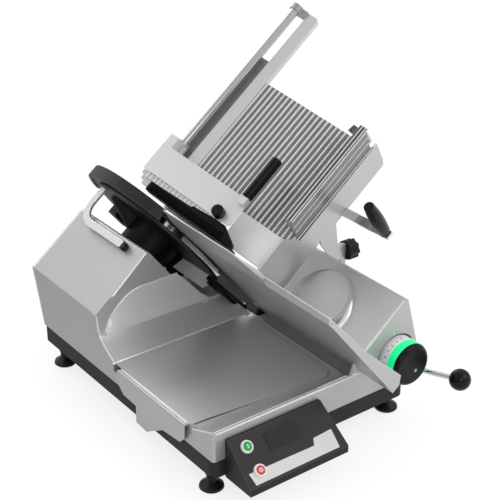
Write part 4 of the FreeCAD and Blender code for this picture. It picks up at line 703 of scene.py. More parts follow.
class Recipe(Nodes):
    """A geometry node tree with named inputs, for pieces that repeat or follow a rule."""

    SOCKETS = {int: "NodeSocketInt", float: "NodeSocketFloat", tuple: "NodeSocketVector"}

    def __init__(self, name: str, inputs: dict[str, object]) -> None:
        """Start a tree.

        Args:
            name: The tree's name.
            inputs: Input name to its first value, whose type gives the socket's.
        """
        super().__init__(bpy.data.node_groups.new(name, "GeometryNodeTree"))
        face = self.tree.interface
        for side in ("OUTPUT", "INPUT"):
            face.new_socket("Geometry", in_out=side, socket_type="NodeSocketGeometry")
        self.identifiers: dict[str, str] = {}
        for label, value in inputs.items():
            socket = face.new_socket(label, in_out="INPUT", socket_type=self.SOCKETS[type(value)])
            socket.default_value = value
            self.identifiers[label] = socket.identifier
        socket = face.new_socket("Material", in_out="INPUT", socket_type="NodeSocketMaterial")
        self.identifiers["Material"] = socket.identifier
        self.given = self.tree.nodes.new("NodeGroupInput").outputs

    def close(self, geometry: Socket) -> "Recipe":
        """End the tree in real geometry with its material."""
        real = self.add("GeometryNodeRealizeInstances", {"Geometry": geometry})
        dressed = self.add("GeometryNodeSetMaterial", {"Geometry": real.outputs[0],
                                                       "Material": self.given["Material"]})
        self.add("NodeGroupOutput", {"Geometry": dressed.outputs[0]})
        return self

    def shape(self, kind: str, **inputs: object) -> Socket:
        """Return a simple mesh of a kind, with underscores for spaces in the input names."""
        links = {label.replace("_", " "): value for label, value in inputs.items()}
        return self.add("GeometryNodeMesh" + kind, links).outputs[0]

    def along(self, vector: Socket, axis: str) -> Socket:
        """Return the turn that points an axis along a vector."""
        return self.add("FunctionNodeAlignRotationToVector", {"Vector": vector}, axis=axis).outputs[0]

    def scattered(self, points: Socket, piece: Socket, **turn: Socket) -> Socket:
        """Return one copy of a piece on each point, turned where a Rotation is given."""
        links = {"Points": points, "Instance": piece, **turn}
        return self.add("GeometryNodeInstanceOnPoints", links).outputs[0]

    def stored(self, geometry: Socket, name: str, value: Socket) -> Socket:
        """Return the geometry with a value stored on each face."""
        links = {"Geometry": geometry, "Name": name, "Value": value}
        return self.add("GeometryNodeStoreNamedAttribute", links, domain="FACE").outputs[0]

    def shifted(self, geometry: Socket, move: Socket) -> Socket:
        """Return the geometry after a move."""
        return self.add("GeometryNodeTransform", {"Geometry": geometry, "Translation": move}).outputs[0]

    def grow(self, name: str, finish: Finish, source: bpy.types.Mesh | None = None,
             **values: object) -> Thing:
        """Run the tree once and return its result as a plain object.

        Args:
            name: The object's name.
            finish: The finish given to the tree.
            source: The mesh that the tree works on, if it needs one.
            **values: Input name, with underscores for spaces, to value.

        Returns:
            The object.
        """
        thing = add_object(name, source or bpy.data.meshes.new(name))
        modifier = thing.modifiers.new("recipe", "NODES")
        modifier.node_group = self.tree
        modifier[self.identifiers["Material"]] = material_of(finish)
        for label, value in values.items():
            modifier[self.identifiers[label.replace("_", " ")]] = value
        thing.update_tag()
        settled(thing)
        return thing


def ring_recipe() -> Recipe:
    """Return the tree that sets small blocks on a ring, pointing outwards."""
    recipe = Recipe("ring_of_blocks", {"Count": 12, "Radius": 0.01, "Length": 0.002, "Width": 0.001,
                                       "Height": 0.001})
    given = recipe.given
    ring = recipe.shape("Circle", Vertices=given["Count"], Radius=given["Radius"])
    block = recipe.shape("Cube", Size=recipe.vector(given["Height"], given["Width"], given["Length"]))
    turn = recipe.along(recipe.add("GeometryNodeInputPosition").outputs[0], "X")
    return recipe.close(recipe.scattered(ring, block, Rotation=turn))


def screw_recipe() -> Recipe:
    """Return the tree that sets a socket screw head on each point, along its facing."""
    recipe = Recipe("screw_heads", {"Radius": 0.003, "Height": 0.0015, "Socket": 0.0016})
    given = recipe.given
    head = recipe.shape("Cylinder", Vertices=28, Radius=given["Radius"], Depth=given["Height"])
    hole = recipe.shape("Cylinder", Vertices=6, Radius=given["Socket"], Depth=given["Height"])
    raised = recipe.shifted(hole, recipe.vector(z=recipe.math("MULTIPLY", given["Height"], 0.45)))
    cut = recipe.add("GeometryNodeMeshBoolean", {"Mesh 1": head, "Mesh 2": raised}, operation="DIFFERENCE")
    facing = recipe.add("GeometryNodeInputNamedAttribute", {"Name": FACING}, data_type="FLOAT_VECTOR")
    turn = recipe.along(facing.outputs[0], "Z")
    return recipe.close(recipe.scattered(given["Geometry"], cut.outputs["Mesh"], Rotation=turn))


def row_recipe() -> Recipe:
    """Return the tree that sets pointed teeth in a row between two points."""
    recipe = Recipe("row_of_teeth", {"Count": 20, "Start": (0, 0, 0), "End": (1, 0, 0), "Point": (0, 0, 1),
                                     "Width": 0.002, "Height": 0.004})
    given = recipe.given
    span = recipe.add("ShaderNodeVectorMath", {0: given["End"], 1: given["Start"]}, operation="SUBTRACT")
    share = recipe.math("DIVIDE", 1.0, recipe.math("SUBTRACT", given["Count"], 1.0))
    step = recipe.add("ShaderNodeVectorMath", {0: span.outputs[0], "Scale": share}, operation="SCALE")
    line = recipe.shape("Line", Count=given["Count"], Start_Location=given["Start"], Offset=step.outputs[0])
    tooth = recipe.shape("Cone", Vertices=4, Radius_Top=0.0002, Radius_Bottom=given["Width"],
                         Depth=given["Height"])
    return recipe.close(recipe.scattered(line, tooth, Rotation=recipe.along(given["Point"], "Z")))


def ribbed_recipe() -> Recipe:
    """Return the tree that lays a row of rounded ribs, which run along X, on a plate."""
    recipe = Recipe("ribbed_plate", {"Ribs": 24, "Pitch": 0.011, "Rib Width": 0.005, "Rib Height": 0.002,
                                     "Length": 0.2, "Breadth": 0.2, "Plate": 0.004, "Margin": 0.002})
    given, maths, vector = recipe.given, recipe.math, recipe.vector
    bar = recipe.shape("Cube", Size=vector(given["Length"], given["Rib Width"], 0.0008), Vertices_X=2,
                       Vertices_Y=9)
    place = recipe.split(recipe.add("GeometryNodeInputPosition").outputs[0])
    share = maths("DIVIDE", maths("MULTIPLY", place["Y"], 2.0), given["Rib Width"])
    round_share = maths("SUBTRACT", 1.0, maths("MULTIPLY", share, share))
    arch = maths("SQRT", maths("MAXIMUM", round_share, 0.0))
    lift = vector(z=maths("MULTIPLY", arch, given["Rib Height"]))
    rib = recipe.add("GeometryNodeSetPosition", {"Geometry": bar, "Offset": lift,
                                                 "Selection": maths("GREATER_THAN", place["Z"], 0.0)})
    # Painted highlight: the edge mark is highest on each rib's crown and fades towards its flanks.
    fade = maths("SUBTRACT", 1.15, maths("MULTIPLY", maths("ABSOLUTE", share), 1.3))
    fade = maths("MAXIMUM", maths("MINIMUM", fade, 1.0), 0.0)
    first = maths("ADD", given["Margin"], maths("DIVIDE", given["Rib Width"], 2.0))
    row = recipe.shape("Line", Count=given["Ribs"], Start_Location=vector(y=first),
                       Offset=vector(y=given["Pitch"]))
    ribs = recipe.scattered(row, recipe.stored(rib.outputs[0], EDGE_MARK, fade))
    base = recipe.shape("Cube", Size=vector(given["Length"], given["Breadth"], given["Plate"]))
    sink = vector(y=maths("DIVIDE", given["Breadth"], 2.0), z=maths("DIVIDE", given["Plate"], -2.0))
    # Painted shade: the plate's top face between the ribs carries the groove mark.
    facing = recipe.split(recipe.add("GeometryNodeInputNormal").outputs[0])
    upper = maths("GREATER_THAN", facing["Z"], 0.9)
    floor = recipe.stored(recipe.shifted(base, sink), GROOVE_MARK, upper)
    both = recipe.add("GeometryNodeJoinGeometry")
    for piece in (floor, ribs):
        recipe.tree.links.new(piece, both.inputs[0])
    return recipe.close(both.outputs[0])


def point_cloud(name: str, place: Vector, facing: Vector) -> bpy.types.Mesh:
    """Return one loose point that carries the direction in which it faces."""
    mesh = bpy.data.meshes.new(name + "_points")
    mesh.from_pydata([tuple(place)], [], [])
    mesh.attributes.new(FACING, "FLOAT_VECTOR", "POINT").data.foreach_set("vector", list(facing))
    return mesh


def moved(thing: Thing, matrix: Matrix) -> Thing:
    """Move an object's mesh and leave its origin where it is."""
    thing.data.transform(matrix)
    thing.data.update()
    return thing


def glyph(text: str, size: float, matrix: Matrix, depth: float = 0.06) -> bpy.types.Mesh:
    """Return plain figures as a thin mesh, centred and placed.

    Args:
        text: The figures.
        size: Their height in millimetres.
        matrix: The place of their middle, with Z out of the surface.
        depth: Their thickness in millimetres.

    Returns:
        The mesh.
    """
    curve = bpy.data.curves.new("figures", "FONT")
    curve.body = text
    curve.size = size * MM
    curve.extrude = depth * MM / 2
    curve.resolution_u = 3
    curve.align_x = "CENTER"
    curve.align_y = "CENTER"
    carrier = add_object("figures", curve)
    graph = bpy.context.evaluated_depsgraph_get()
    mesh = bpy.data.meshes.new_from_object(carrier.evaluated_get(graph))
    bpy.data.objects.remove(carrier)
    mesh.transform(matrix)
    return mesh


def about_blade(radius: float, degrees: float) -> tuple[float, float]:
    """Return the y, v of a point about the blade's axis."""
    angle = math.radians(degrees)
    return (BLADE_Y + radius * math.cos(angle), BLADE_V + radius * math.sin(angle))


def oblong(x: float, y: float) -> Pairs:
    """Return a rectangle about the origin, given by its half sides."""
    return [(-x, -y), (x, -y), (x, y), (-x, y)]


@dataclass
class CastBody(SubAssembly):
    """The cast body, its pan, feet and the mains socket."""

    title: str = "cast body"
    plug_radius: float = 7.0
    plug_y: float = 178.0
    plug_z: float = 150.0
    ledge_z: float = 160.2
    ridge: Pairs = ((-187.2, 188.4), (-176.9, 199.6), (-164.6, 210.1), (-151.2, 220.2), (-135.0, 227.4),
                    (-120.4, 229.9), (-98.5, 230.1), (-65.2, 230.9), (-38.9, 231.3))

    def build(self) -> None:
        """Build and dress every piece of the group."""
        self.soften(CAST, "housing", main=0.0058, width=0.0008)
        self.soften(PAN, "base_pan", width=0.001)
        self.dress(RUBBER, "feet")
        self.dress(STEEL, "foot_studs")
        self.dress(BLACK, "mains_inlet")
        self.side_plug()
        self.inner_slope()
        self.seam_piece()
        self.sweep_face()
        self.beads()

    def side_plug(self) -> None:
        """Close the round hole in the motor housing's side with a shallow plug."""
        place = in_body(0.0, self.plug_y, self.plug_z)
        place.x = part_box("housing")[0].x
        radius = self.plug_radius
        profile = [(0, -0.6), (radius - 2, -0.5), (radius - 1, 0.0), (radius, -0.2), (radius, -1.0),
                   (0, -1.0)]
        self.turned("side_plug", profile, Matrix.Translation(place) @ TO_LEFT, PAN, "base")

    def seam_piece(self) -> None:
        """Close the seam between the rim's left end and the tray's flap."""
        outline = [(-199.7, 125.5), (-229.3, 133.9), (-226.8, 103.3), (-204.4, 95.6)]
        self.plate("seam_piece", outline, 3.0, crosswise(GROUND, -216.6), CAST, "base")

    def sweep_face(self) -> None:
        """Lay the raised face of the sweep under its second ridge, in a paler finish that paints the light on
        it.
        """
        ridge = [(-204.0, 150.0), (-199.0, 168.0), *self.ridge,
                 (-22.8, 215.0), (-7.2, 197.0), (10.8, 175.9), (26.8, 154.0)]
        low = [(82.1, 188.0), (78.1, 174.0), (74.1, 160.0)]

        rows = []
        for x, top in ridge:
            crest = 84.3 if top > 188.0 else 75.0 + (top - 160.0) * 0.29
            below = [(y, min(z, max(top - 1.0, self.ledge_z))) for y, z in low]
            rows.append([in_body(x, y, z) for y, z in ((crest, max(top, 160.5)), *below)])
        thing = woven("sweep_face", rows, closed=False)
        thick = thing.modifiers.new("thick", "SOLIDIFY")
        thick.thickness, thick.offset = 0.0012, 0.0
        settled(thing)
        self.keep(smooth_by_angle(thing, 30.0), SWEEP, "base")

    def beads(self) -> None:
        """Lay rounded beads along the edges of the sweep, the ledge, the front rim and the dial's boss, whose
        pale finishes paint the edges' highlights.
        """
        ridge = [(-205.0, 70.0, 152.0), (-201.0, 78.0, 166.0), *((x, 84.0, z) for x, z in self.ridge)]
        side = [(-215.0, y, z) for y, z in ((85.5, 200.0), (84.0, 188.0), (80.0, 173.0), (76.0, 161.5),
                                            (66.0, 151.5), (56.0, 144.5), (42.0, 136.0), (29.0, 128.5))]
        ledge = [(x, 75.0, self.ledge_z) for x in (-203.0, -100.0, 0.0, 57.0)]
        rim = [(-212.0, -275.2, 144.2), (60.0, -275.2, 144.2), (73.5, -275.0, 144.0)]
        streak = [(8.0, -275.4, 143.6), (36.0, -275.4, 144.2), (60.0, -275.2, 144.2), (73.0, -275.0, 144.0)]
        boss = [(177.7, -120.6, 235.0), (175.8, -139.8, 233.5), (171.9, -158.5, 230.4),
                (165.1, -173.9, 225.0), (155.2, -186.2, 217.2), (144.0, -194.7, 208.3),
                (132.8, -198.5, 199.4), (120.1, -198.6, 189.4)]
        beads = [("ridge_bead", ridge, 1.9, BEAD), ("side_bead", side, 2.2, BEAD),
                 ("ledge_bead", ledge, 0.8, BEAD), ("rim_bead", rim, 1.1, SHINE),
                 ("rim_streak", streak, 2.1, SHINE), ("boss_bead", boss, 7.4, BEAD)]
        for name, spots, radius, finish in beads:
            path = [in_body(*spot) for spot in spots]
            thing = mesh_from(name, lambda work, p=path, r=radius: round_bar(work, p, r, 14))
            self.keep(smooth_by_angle(thing, 50.0), finish, "base")

    def inner_slope(self) -> None:
        """Cast the hollow slope that leads from the front rim and the gauge side down to the tray, with
        painted shade in the cove by the gauge side and a painted highlight along the front run.
        """
        high = [(-211.3, -272.5, 141.0), (60.0, -272.5, 141.0), (74.0, -270.5, 140.5), (81.5, -264.0, 137.0),
                (87.0, -251.0, 131.0), (90.5, -232.0, 127.2), (92.0, -200.0, 126.6), (92.0, 26.0, 126.6)]
        low = [(-211.3, -213.5), (55.0, -233.0), (64.0, -233.5), (73.0, -229.0), (79.0, -221.0),
               (80.5, -212.0), (80.5, -195.0), (80.5, 26.0)]
        low_z, steps, hollow, skirt_drop = 125.0, 8, 1.9, 6.0
        gauge_x, shaded_y, lit_y = 79.0, -205.0, -266.0

        def fill(work: Work) -> None:
            """Lay a hollow sheet between the two lines and close it below."""
            rows = []
            for (hx, hy, hz), (lx, ly) in zip(high, low):
                row = []
                for share in (step / steps for step in range(steps + 1)):
                    rise = (hz - low_z) * share ** hollow
                    row.append(in_body(lx + (hx - lx) * share, ly + (hy - ly) * share, low_z + rise))
                rows.append([work.verts.new(spot) for spot in row])
            skin(work, rows, closed=False)
            # Painted shade: the cove beside the gauge side is marked darker. Painted highlight: the streak
            # along the rim's inner top is marked paler.
            deep = work.faces.layers.float.new(GROOVE_MARK)
            lit = work.faces.layers.float.new(EDGE_MARK)
            for face in work.faces:
                spot = face.calc_center_median() / MM
                if spot.x > gauge_x and spot.y > shaded_y:
                    near = max(0.0, 1.0 - (spot.x - 80.0) / 20.0)
                    face[deep] = near * max(0.0, min(1.0, (-80.0 - spot.y) / 60.0))
                if spot.y < lit_y:
                    face[lit] = 1.0
            edge = [edge for edge in work.edges if edge.is_boundary]
            skirt = bmesh.ops.extrude_edge_only(work, edges=edge)
            for vert in (item for item in skirt["geom"] if isinstance(item, bmesh.types.BMVert)):
                vert.co.z -= skirt_drop * MM

        self.keep(smooth_by_angle(mesh_from("inner_slope", fill)), SLOPE, "base")


@dataclass
class BladeUnit(SubAssembly):
    """The blade with its cover, shaft, guards and drive."""

    title: str = "blade unit"
    plug_share: float = 0.74
    sheet: float = 1.6

    def build(self) -> None:
        """Build and dress every piece of the group."""
        self.dress(BLADE_STEEL, "blade", "blade_cover")
        self.dress(POLISHED, "cover_screw", "blade_shaft", "hinge_pin")
        self.dress(STEEL, "blade_bolts", "blade_bearings", "blade_pulley", "motor_pulley", "motor_carrier")
        self.dress(CAST, "motor")
        self.dress(BELT, "drive_belt")
        self.dress(BLACK_CAST, "bearing_neck")
        self.soften(GUARD_CAST, "ring_guard", "guard_plate", width=0.0012)
        self.soften(PRESS, "guard_strap", width=0.0009)
        self.grommet()
        self.soften(BLACK, "deflector_arm", width=0.0012)
        self.deflector()
        self.hinge_lobe()
        self.guard_lip()
        self.channel_cover()
        self.neck_skirt()

    def grommet(self) -> None:
        """Fit the small black plug at the strap's lower end, smaller than the solid for it."""
        low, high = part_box("strap_grommet")
        middle = (low + high) / 2
        shrunk = Matrix.Translation(middle) @ Matrix.Scale(self.plug_share, 4) @ Matrix.Translation(-middle)
        mesh = frame["nodes"]["strap_grommet"].data.copy()
        mesh.transform(shrunk)
        self.keep(add_object("strap_plug", mesh), RUBBER, rider("strap_grommet"), "strap_grommet")

    def deflector(self) -> None:
        """Bend the deflector's sheet with its upper lip, both in pale finishes: painted light on the sheet
        and a painted highlight on the lip.
        """
        low = [(131.0, 200.0, 120.0), (131.0, 112.0, 104.0)]
        high = [(154.6, 200.0, 113.0), (156.8, 112.0, 90.0)]
        lip = [(d + 3.5, y, v + 3.0) for d, y, v in high]
        for name, first, second, finish, nodes in (("deflector_sheet", low, high, LOWER, ["deflector"]),
                                                   ("deflector_lip", high, lip, LIP, [])):
            corners = (*first, *reversed(second))
            rows = [[in_blade(d, y, v - drop) for d, y, v in corners] for drop in (0.0, self.sheet)]
            self.keep(woven(name, rows, capped=True), finish, rider("deflector"), *nodes)

    def hinge_lobe(self) -> None:
        """Cast the black lobe over the deflector's hinge."""
        outline = [(98.0, 70.0), (88.0, 48.0), (74.0, 32.0), (58.0, 30.0), (51.0, 40.0), (52.0, 62.0),
                   (54.0, 84.0), (60.0, 108.0), (80.0, 122.0), (104.0, 114.0)]
        seat = crosswise(BLADE_TURN, 142.0)
        thing = mesh_from("hinge_lobe", lambda work: flat_piece(work, outline, 8.6, seat))
        bevel = thing.modifiers.new("round", "BEVEL")
        bevel.width, bevel.segments, bevel.limit_method = 0.003, 3, "ANGLE"
        settled(thing)
        self.keep(smooth_by_angle(thing, 50.0), BLACK, rider("deflector_arm"))

    def guard_lip(self) -> None:
        """Bring the guard's black edge close to the blade's cutting edge."""
        band = [(176.0, 140.0), (176.0, 161.0), (179.6, 163.4), (180.6, 163.4), (180.6, 140.0)]
        start, turn, steps = 98.0, 104.0, 40
        angles = [start + turn * step / steps for step in range(steps + 1)]
        rows = [[in_blade(d, *about_blade(radius, angle)) for d, radius in band] for angle in angles]
        thing = woven("guard_lip", rows, capped=True)
        self.keep(smooth_by_angle(thing, 30.0), GUARD_CAST, rider("guard_plate"))

    def neck_skirt(self) -> None:
        """Close the view under the bearing neck in black."""
        outline = [(10.5, 191.0), (62.8, 174.9), (86.3, 140.3), (75.6, 111.4), (41.6, 122.4)]
        seat = Matrix(((1, 0, 0, 0), (0, 0, 1, 232.0 * MM), (0, 1, 0, 0), (0, 0, 0, 1)))
        self.plate("neck_skirt", outline, 2.0, seat, BLACK_CAST, rider("bearing_neck"))

    def channel_cover(self) -> None:
        """Line the channel under the blade in black."""
        outline = [(112.0, 30.0), (150.0, 30.0), (186.0, 60.0), (186.0, 210.0), (120.0, 210.0),
                   (106.0, 110.0)]
        self.plate("channel_cover", outline, 1.2, GROUND @ shift(0, 0, 112.0), BLACK, "base")


@dataclass
class Gauge(SubAssembly):
    """The gauge plate with its screw, rods, yoke and spiral cam."""

    title: str = "gauge plate"
    screw_radius: float = 2.2
    screw_height: float = 1.2

    def build(self) -> None:
        """Build and dress every piece of the group."""
        self.soften(ALU_Y, "gauge_plate", width=0.0016)
        self.edge_by_blade()
        self.dress(POLISHED, "gauge_rods", "dial_spindle")
        self.dress(BRASS, "gauge_bushes", "dial_bearing")
        self.dress(STEEL, "yoke", "spiral_cam")
        self.front_screw()

    def front_screw(self) -> None:
        """Set the small socket screw in the plate's front edge."""
        spot = in_blade(192.0, 0, 46.0)
        spot.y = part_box("gauge_plate")[0].y
        cloud = point_cloud("gauge_screw", spot, Vector((0, -1, 0)))
        thing = screw_recipe().grow("gauge_screw", POLISHED, cloud, Radius=self.screw_radius * MM,
                                    Height=self.screw_height * MM, Socket=self.screw_radius * 0.52 * MM)
        self.keep(thing, POLISHED, "gauge")

    def edge_by_blade(self) -> None:
        """Carry the plate's face up to the blade's cutting edge."""
        arc = [about_blade(167.6, 222.0 - 44.0 * step / 12) for step in range(13)]
        outline = [(60.0, 178.0), (46.0, 72.0), *arc]
        self.plate("gauge_edge", outline, 3.6, crosswise(BLADE_TURN, 181.2), ALU_Y, "gauge")


@dataclass
class Dial(SubAssembly):
    """The thickness dial with its scale, coloured ring and knob."""

    title: str = "thickness dial"
    turn: float = 330.0
    steps: int = 20
    marks_low: float = 17.2
    figures_middle: float = 7.6
    figure_height: float = 8.6

    def build(self) -> None:
        """Build and dress every piece of the group."""
        self.dress(WHITE, "scale_ring")
        self.dress(GREEN, "index_ring")
        self.dress(KNOB, "dial_knob")
        low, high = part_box("scale_ring")
        self.radius = (high.x - low.x) / 2
        self.front = low.y
        self.scale_marks()
        self.numerals()
        self.knob_screw()
        self.index_dot()
        self.dark_gap()

    def seat(self, y: float) -> Matrix:
        """Return the place on the dial's axis at y, with Z towards the user."""
        return Matrix.Translation((DIAL_CENTRE[0], y, DIAL_CENTRE[2])) @ TO_FRONT

    def scale_marks(self) -> None:
        """Set the fine and coarse marks round the scale ring."""
        ring = ring_recipe()
        for name, count, length in (("scale_marks_fine", 110, 2.4), ("scale_marks_coarse", 22, 5.0)):
            thing = ring.grow(name, BLACK_INK, Count=count, Radius=self.radius, Length=length * MM,
                              Width=0.6 * MM, Height=0.12 * MM)
            moved(thing, self.seat(self.front + (self.marks_low - length / 2) * MM))
            self.keep(thing, BLACK_INK, "dial")

    def numerals(self) -> None:
        """Set the plain figures round the scale ring."""
        middle = self.front + self.figures_middle * MM
        up = Vector((0, 1, 0))

        def fill(work: Work) -> None:
            """Set one figure for each step of the scale."""
            for value in range(self.steps + 1):
                angle = math.radians(90 + self.turn * value / self.steps)
                out = Vector((math.cos(angle), 0, math.sin(angle)))
                spot = Vector((DIAL_CENTRE[0], middle, DIAL_CENTRE[2])) + out * (self.radius + 0.03 * MM)
                turn = Matrix((up.cross(out), up, out)).transposed().to_4x4()
                work.from_mesh(glyph(str(value), self.figure_height, Matrix.Translation(spot) @ turn))

        self.keep(mesh_from("scale_figures", fill), BLACK_INK, "dial")

    def knob_screw(self) -> None:
        """Set the slotted screw off the middle of the knob's face."""
        seat = shift(7.4, 0, -11.5) @ self.seat(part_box("dial_knob")[0].y)
        profile = [(0, 0.5), (2.6, 0.4), (3.4, 0.1), (3.6, -0.4), (0, -0.4)]
        self.turned("knob_screw", profile, seat, STEEL, "dial", steps=32)
        slot_seat = seat @ Matrix.Rotation(math.radians(35), 4, "Z") @ shift(0, 0, 0.28)
        self.plate("knob_screw_slot", oblong(2.9, 0.4), 0.3, slot_seat, BLACK_INK, "dial")

    def index_dot(self) -> None:
        """Set the white mark that the scale is read against."""
        spot = in_body(177.5, 0.0, 196.7)
        spot.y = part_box("housing")[0].y
        profile = [(0, 0.4), (1.5, 0.3), (1.9, -0.2), (0, -0.2)]
        self.turned("index_dot", profile, Matrix.Translation(spot) @ TO_FRONT, WHITE_INK, "base", steps=24)

    def dark_gap(self) -> None:
        """Line the recess round the scale ring in black, as painted shade in the gap."""
        seat = self.seat(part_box("housing")[0].y)
        profile = [(41.3, -3.3), (41.3, -1.2), (43.6, -0.3), (43.9, -0.3), (43.9, -3.3), (41.3, -3.3)]
        self.turned("dial_gap", profile, seat, BLACK, "base", steps=96, smooth=False)


@dataclass
class BallLever(SubAssembly):
    """The lever under the dial with its ball."""

    title: str = "ball lever"

    def build(self) -> None:
        """Build and dress every piece of the group."""
        self.dress(POLISHED, "lever")
        self.dress(KNOB, "lever_ball")


@dataclass
class Tray(SubAssembly):
    """The receiving tray on its pins."""

    title: str = "receiving tray"
    top_z: float = 127.0
    thickness: float = 2.0
    corner_radius: float = 22.0
    flap_x: float = -224.2

    def build(self) -> None:
        """Build and dress every piece of the group."""
        self.sheet()
        self.edge_bead()
        self.flap()
        self.dress(RUBBER, "tray_pins")

    def sheet(self) -> None:
        """Cut the tray's sheet, with a rounded corner at the front right."""
        radius = self.corner_radius
        turns = [math.radians(step) for step in range(0, 91, 15)]
        corner = [(57.0 + radius * math.sin(turn), -212.0 - radius * math.cos(turn)) for turn in turns]
        outline = [(-213.0, -212.0), (-190.0, -212.6), (-180.0, -213.2), *corner, (79.0, 27.0),
                   (-213.0, 27.0)]
        seat = GROUND @ shift(0, 0, self.top_z - self.thickness)
        self.plate("tray_sheet", outline, self.thickness, seat, TRAY_STEEL, "base", "tray")

    def edge_bead(self) -> None:
        """Roll the bead along the tray's left edge."""
        bead = [(-224.3, 118.0), (-224.3, 125.0), (-223.7, 126.9), (-222.2, 127.9), (-220.4, 127.8),
                (-219.0, 126.8), (-218.0, 125.6), (-216.8, 125.5), (-215.4, 126.6), (-213.8, 127.1),
                (-212.6, 127.0), (-212.6, 124.6), (-221.6, 124.6), (-222.9, 123.0), (-222.9, 118.0)]
        rows = [[in_body(x, y, z) for x, z in bead] for y in (-207.0, 6.0)]
        self.keep(smooth_by_angle(woven("tray_bead", rows, capped=True), 50.0), TRAY_STEEL, "base")

    def flap(self) -> None:
        """Cut the side flap with its stepped lower edge and press its two dimples."""
        outline = [(6.0, 125.0), (13.0, 113.3), (4.2, 99.1), (-12.6, 85.0), (-53.8, 83.3), (-52.4, 48.0),
                   (-87.4, 46.2), (-99.9, 55.2), (-139.4, 79.4), (-191.7, 84.7), (-205.8, 98.3),
                   (-206.9, 125.0)]
        self.plate("tray_flap", outline, 1.3, crosswise(GROUND, self.flap_x), TRAY_STEEL, "base")
        profile = [(0, 0.25), (2.6, 0.2), (3.6, 0.0), (4.2, -0.4), (0, -0.4)]
        for number, (y, z) in enumerate(((-99.1, 96.9), (-131.1, 98.5)), start=1):
            seat = GROUND @ shift(self.flap_x, y, z) @ TO_LEFT
            self.turned(f"tray_dimple_{number}", profile, seat, ALU_PLATE, "base", steps=28)


@dataclass
class Panel(SubAssembly):
    """The control panel with its window, label band and two buttons."""

    title: str = "control panel"
    top_y: float = -287.0
    top_z: float = 128.0
    low_y: float = -352.0
    low_z: float = 66.0
    face: float = 6.25
    start_spot: tuple[float, float] = (-166.0, -22.0)
    stop_spot: tuple[float, float] = (-163.0, -66.0)

    def slope(self, spot: tuple[float, float] = (0.0, 0.0), lift: float = 0.0) -> Matrix:
        """Return a place on the panel's face, as x, up the slope and outwards."""
        angle = math.atan2(self.top_z - self.low_z, self.top_y - self.low_y)
        return GROUND @ shift(0, self.top_y, self.top_z) @ Matrix.Rotation(angle, 4, "X") @ shift(*spot, lift)

    def build(self) -> None:
        """Build and dress every piece of the group."""
        self.soften(PANEL, "control_panel", width=0.0018)
        self.soften(WINDOW, "display_window", width=0.0003)
        outline = [(-180.0, -86.0), (-2.0, -86.0), (-2.0, -52.0), (-42.0, -54.0), (-47.0, -66.0),
                   (-184.0, -64.0)]
        self.plate("label_foil", outline, 0.25, self.slope(), LABEL, "base")
        self.button("start", self.start_spot, START_GREEN)
        self.button("stop", self.stop_spot, STOP_RED)
        bar_seat = self.slope(self.start_spot, self.face)
        self.plate("start_mark", oblong(0.7, 3.4), 0.15, bar_seat, WHITE_INK, "start")
        open_ring = [(2.2, 0), (2.2, 0.15), (3.5, 0.15), (3.5, 0), (2.2, 0)]
        ring_seat = self.slope(self.stop_spot, self.face)
        self.turned("stop_mark", open_ring, ring_seat, WHITE_INK, "stop", steps=32, smooth=False)

    def button(self, name: str, spot: tuple[float, float], finish: Finish) -> None:
        """Set one button's ring and its domed cap."""
        seat = self.slope(spot)
        ring = [(8.0, 0), (8.0, 4.6), (8.5, 5.2), (10.2, 5.0), (11.0, 4.0), (11.4, 0), (8.0, 0)]
        dome = [(0, 6.3), (5.0, 6.2), (6.9, 5.6), (7.6, 4.6), (7.7, -4.0), (0, -4.0)]
        self.turned(name + "_collar", ring, seat, WHITE, "base")
        self.turned(name + "_cap", dome, seat, finish, name, name + "_button")


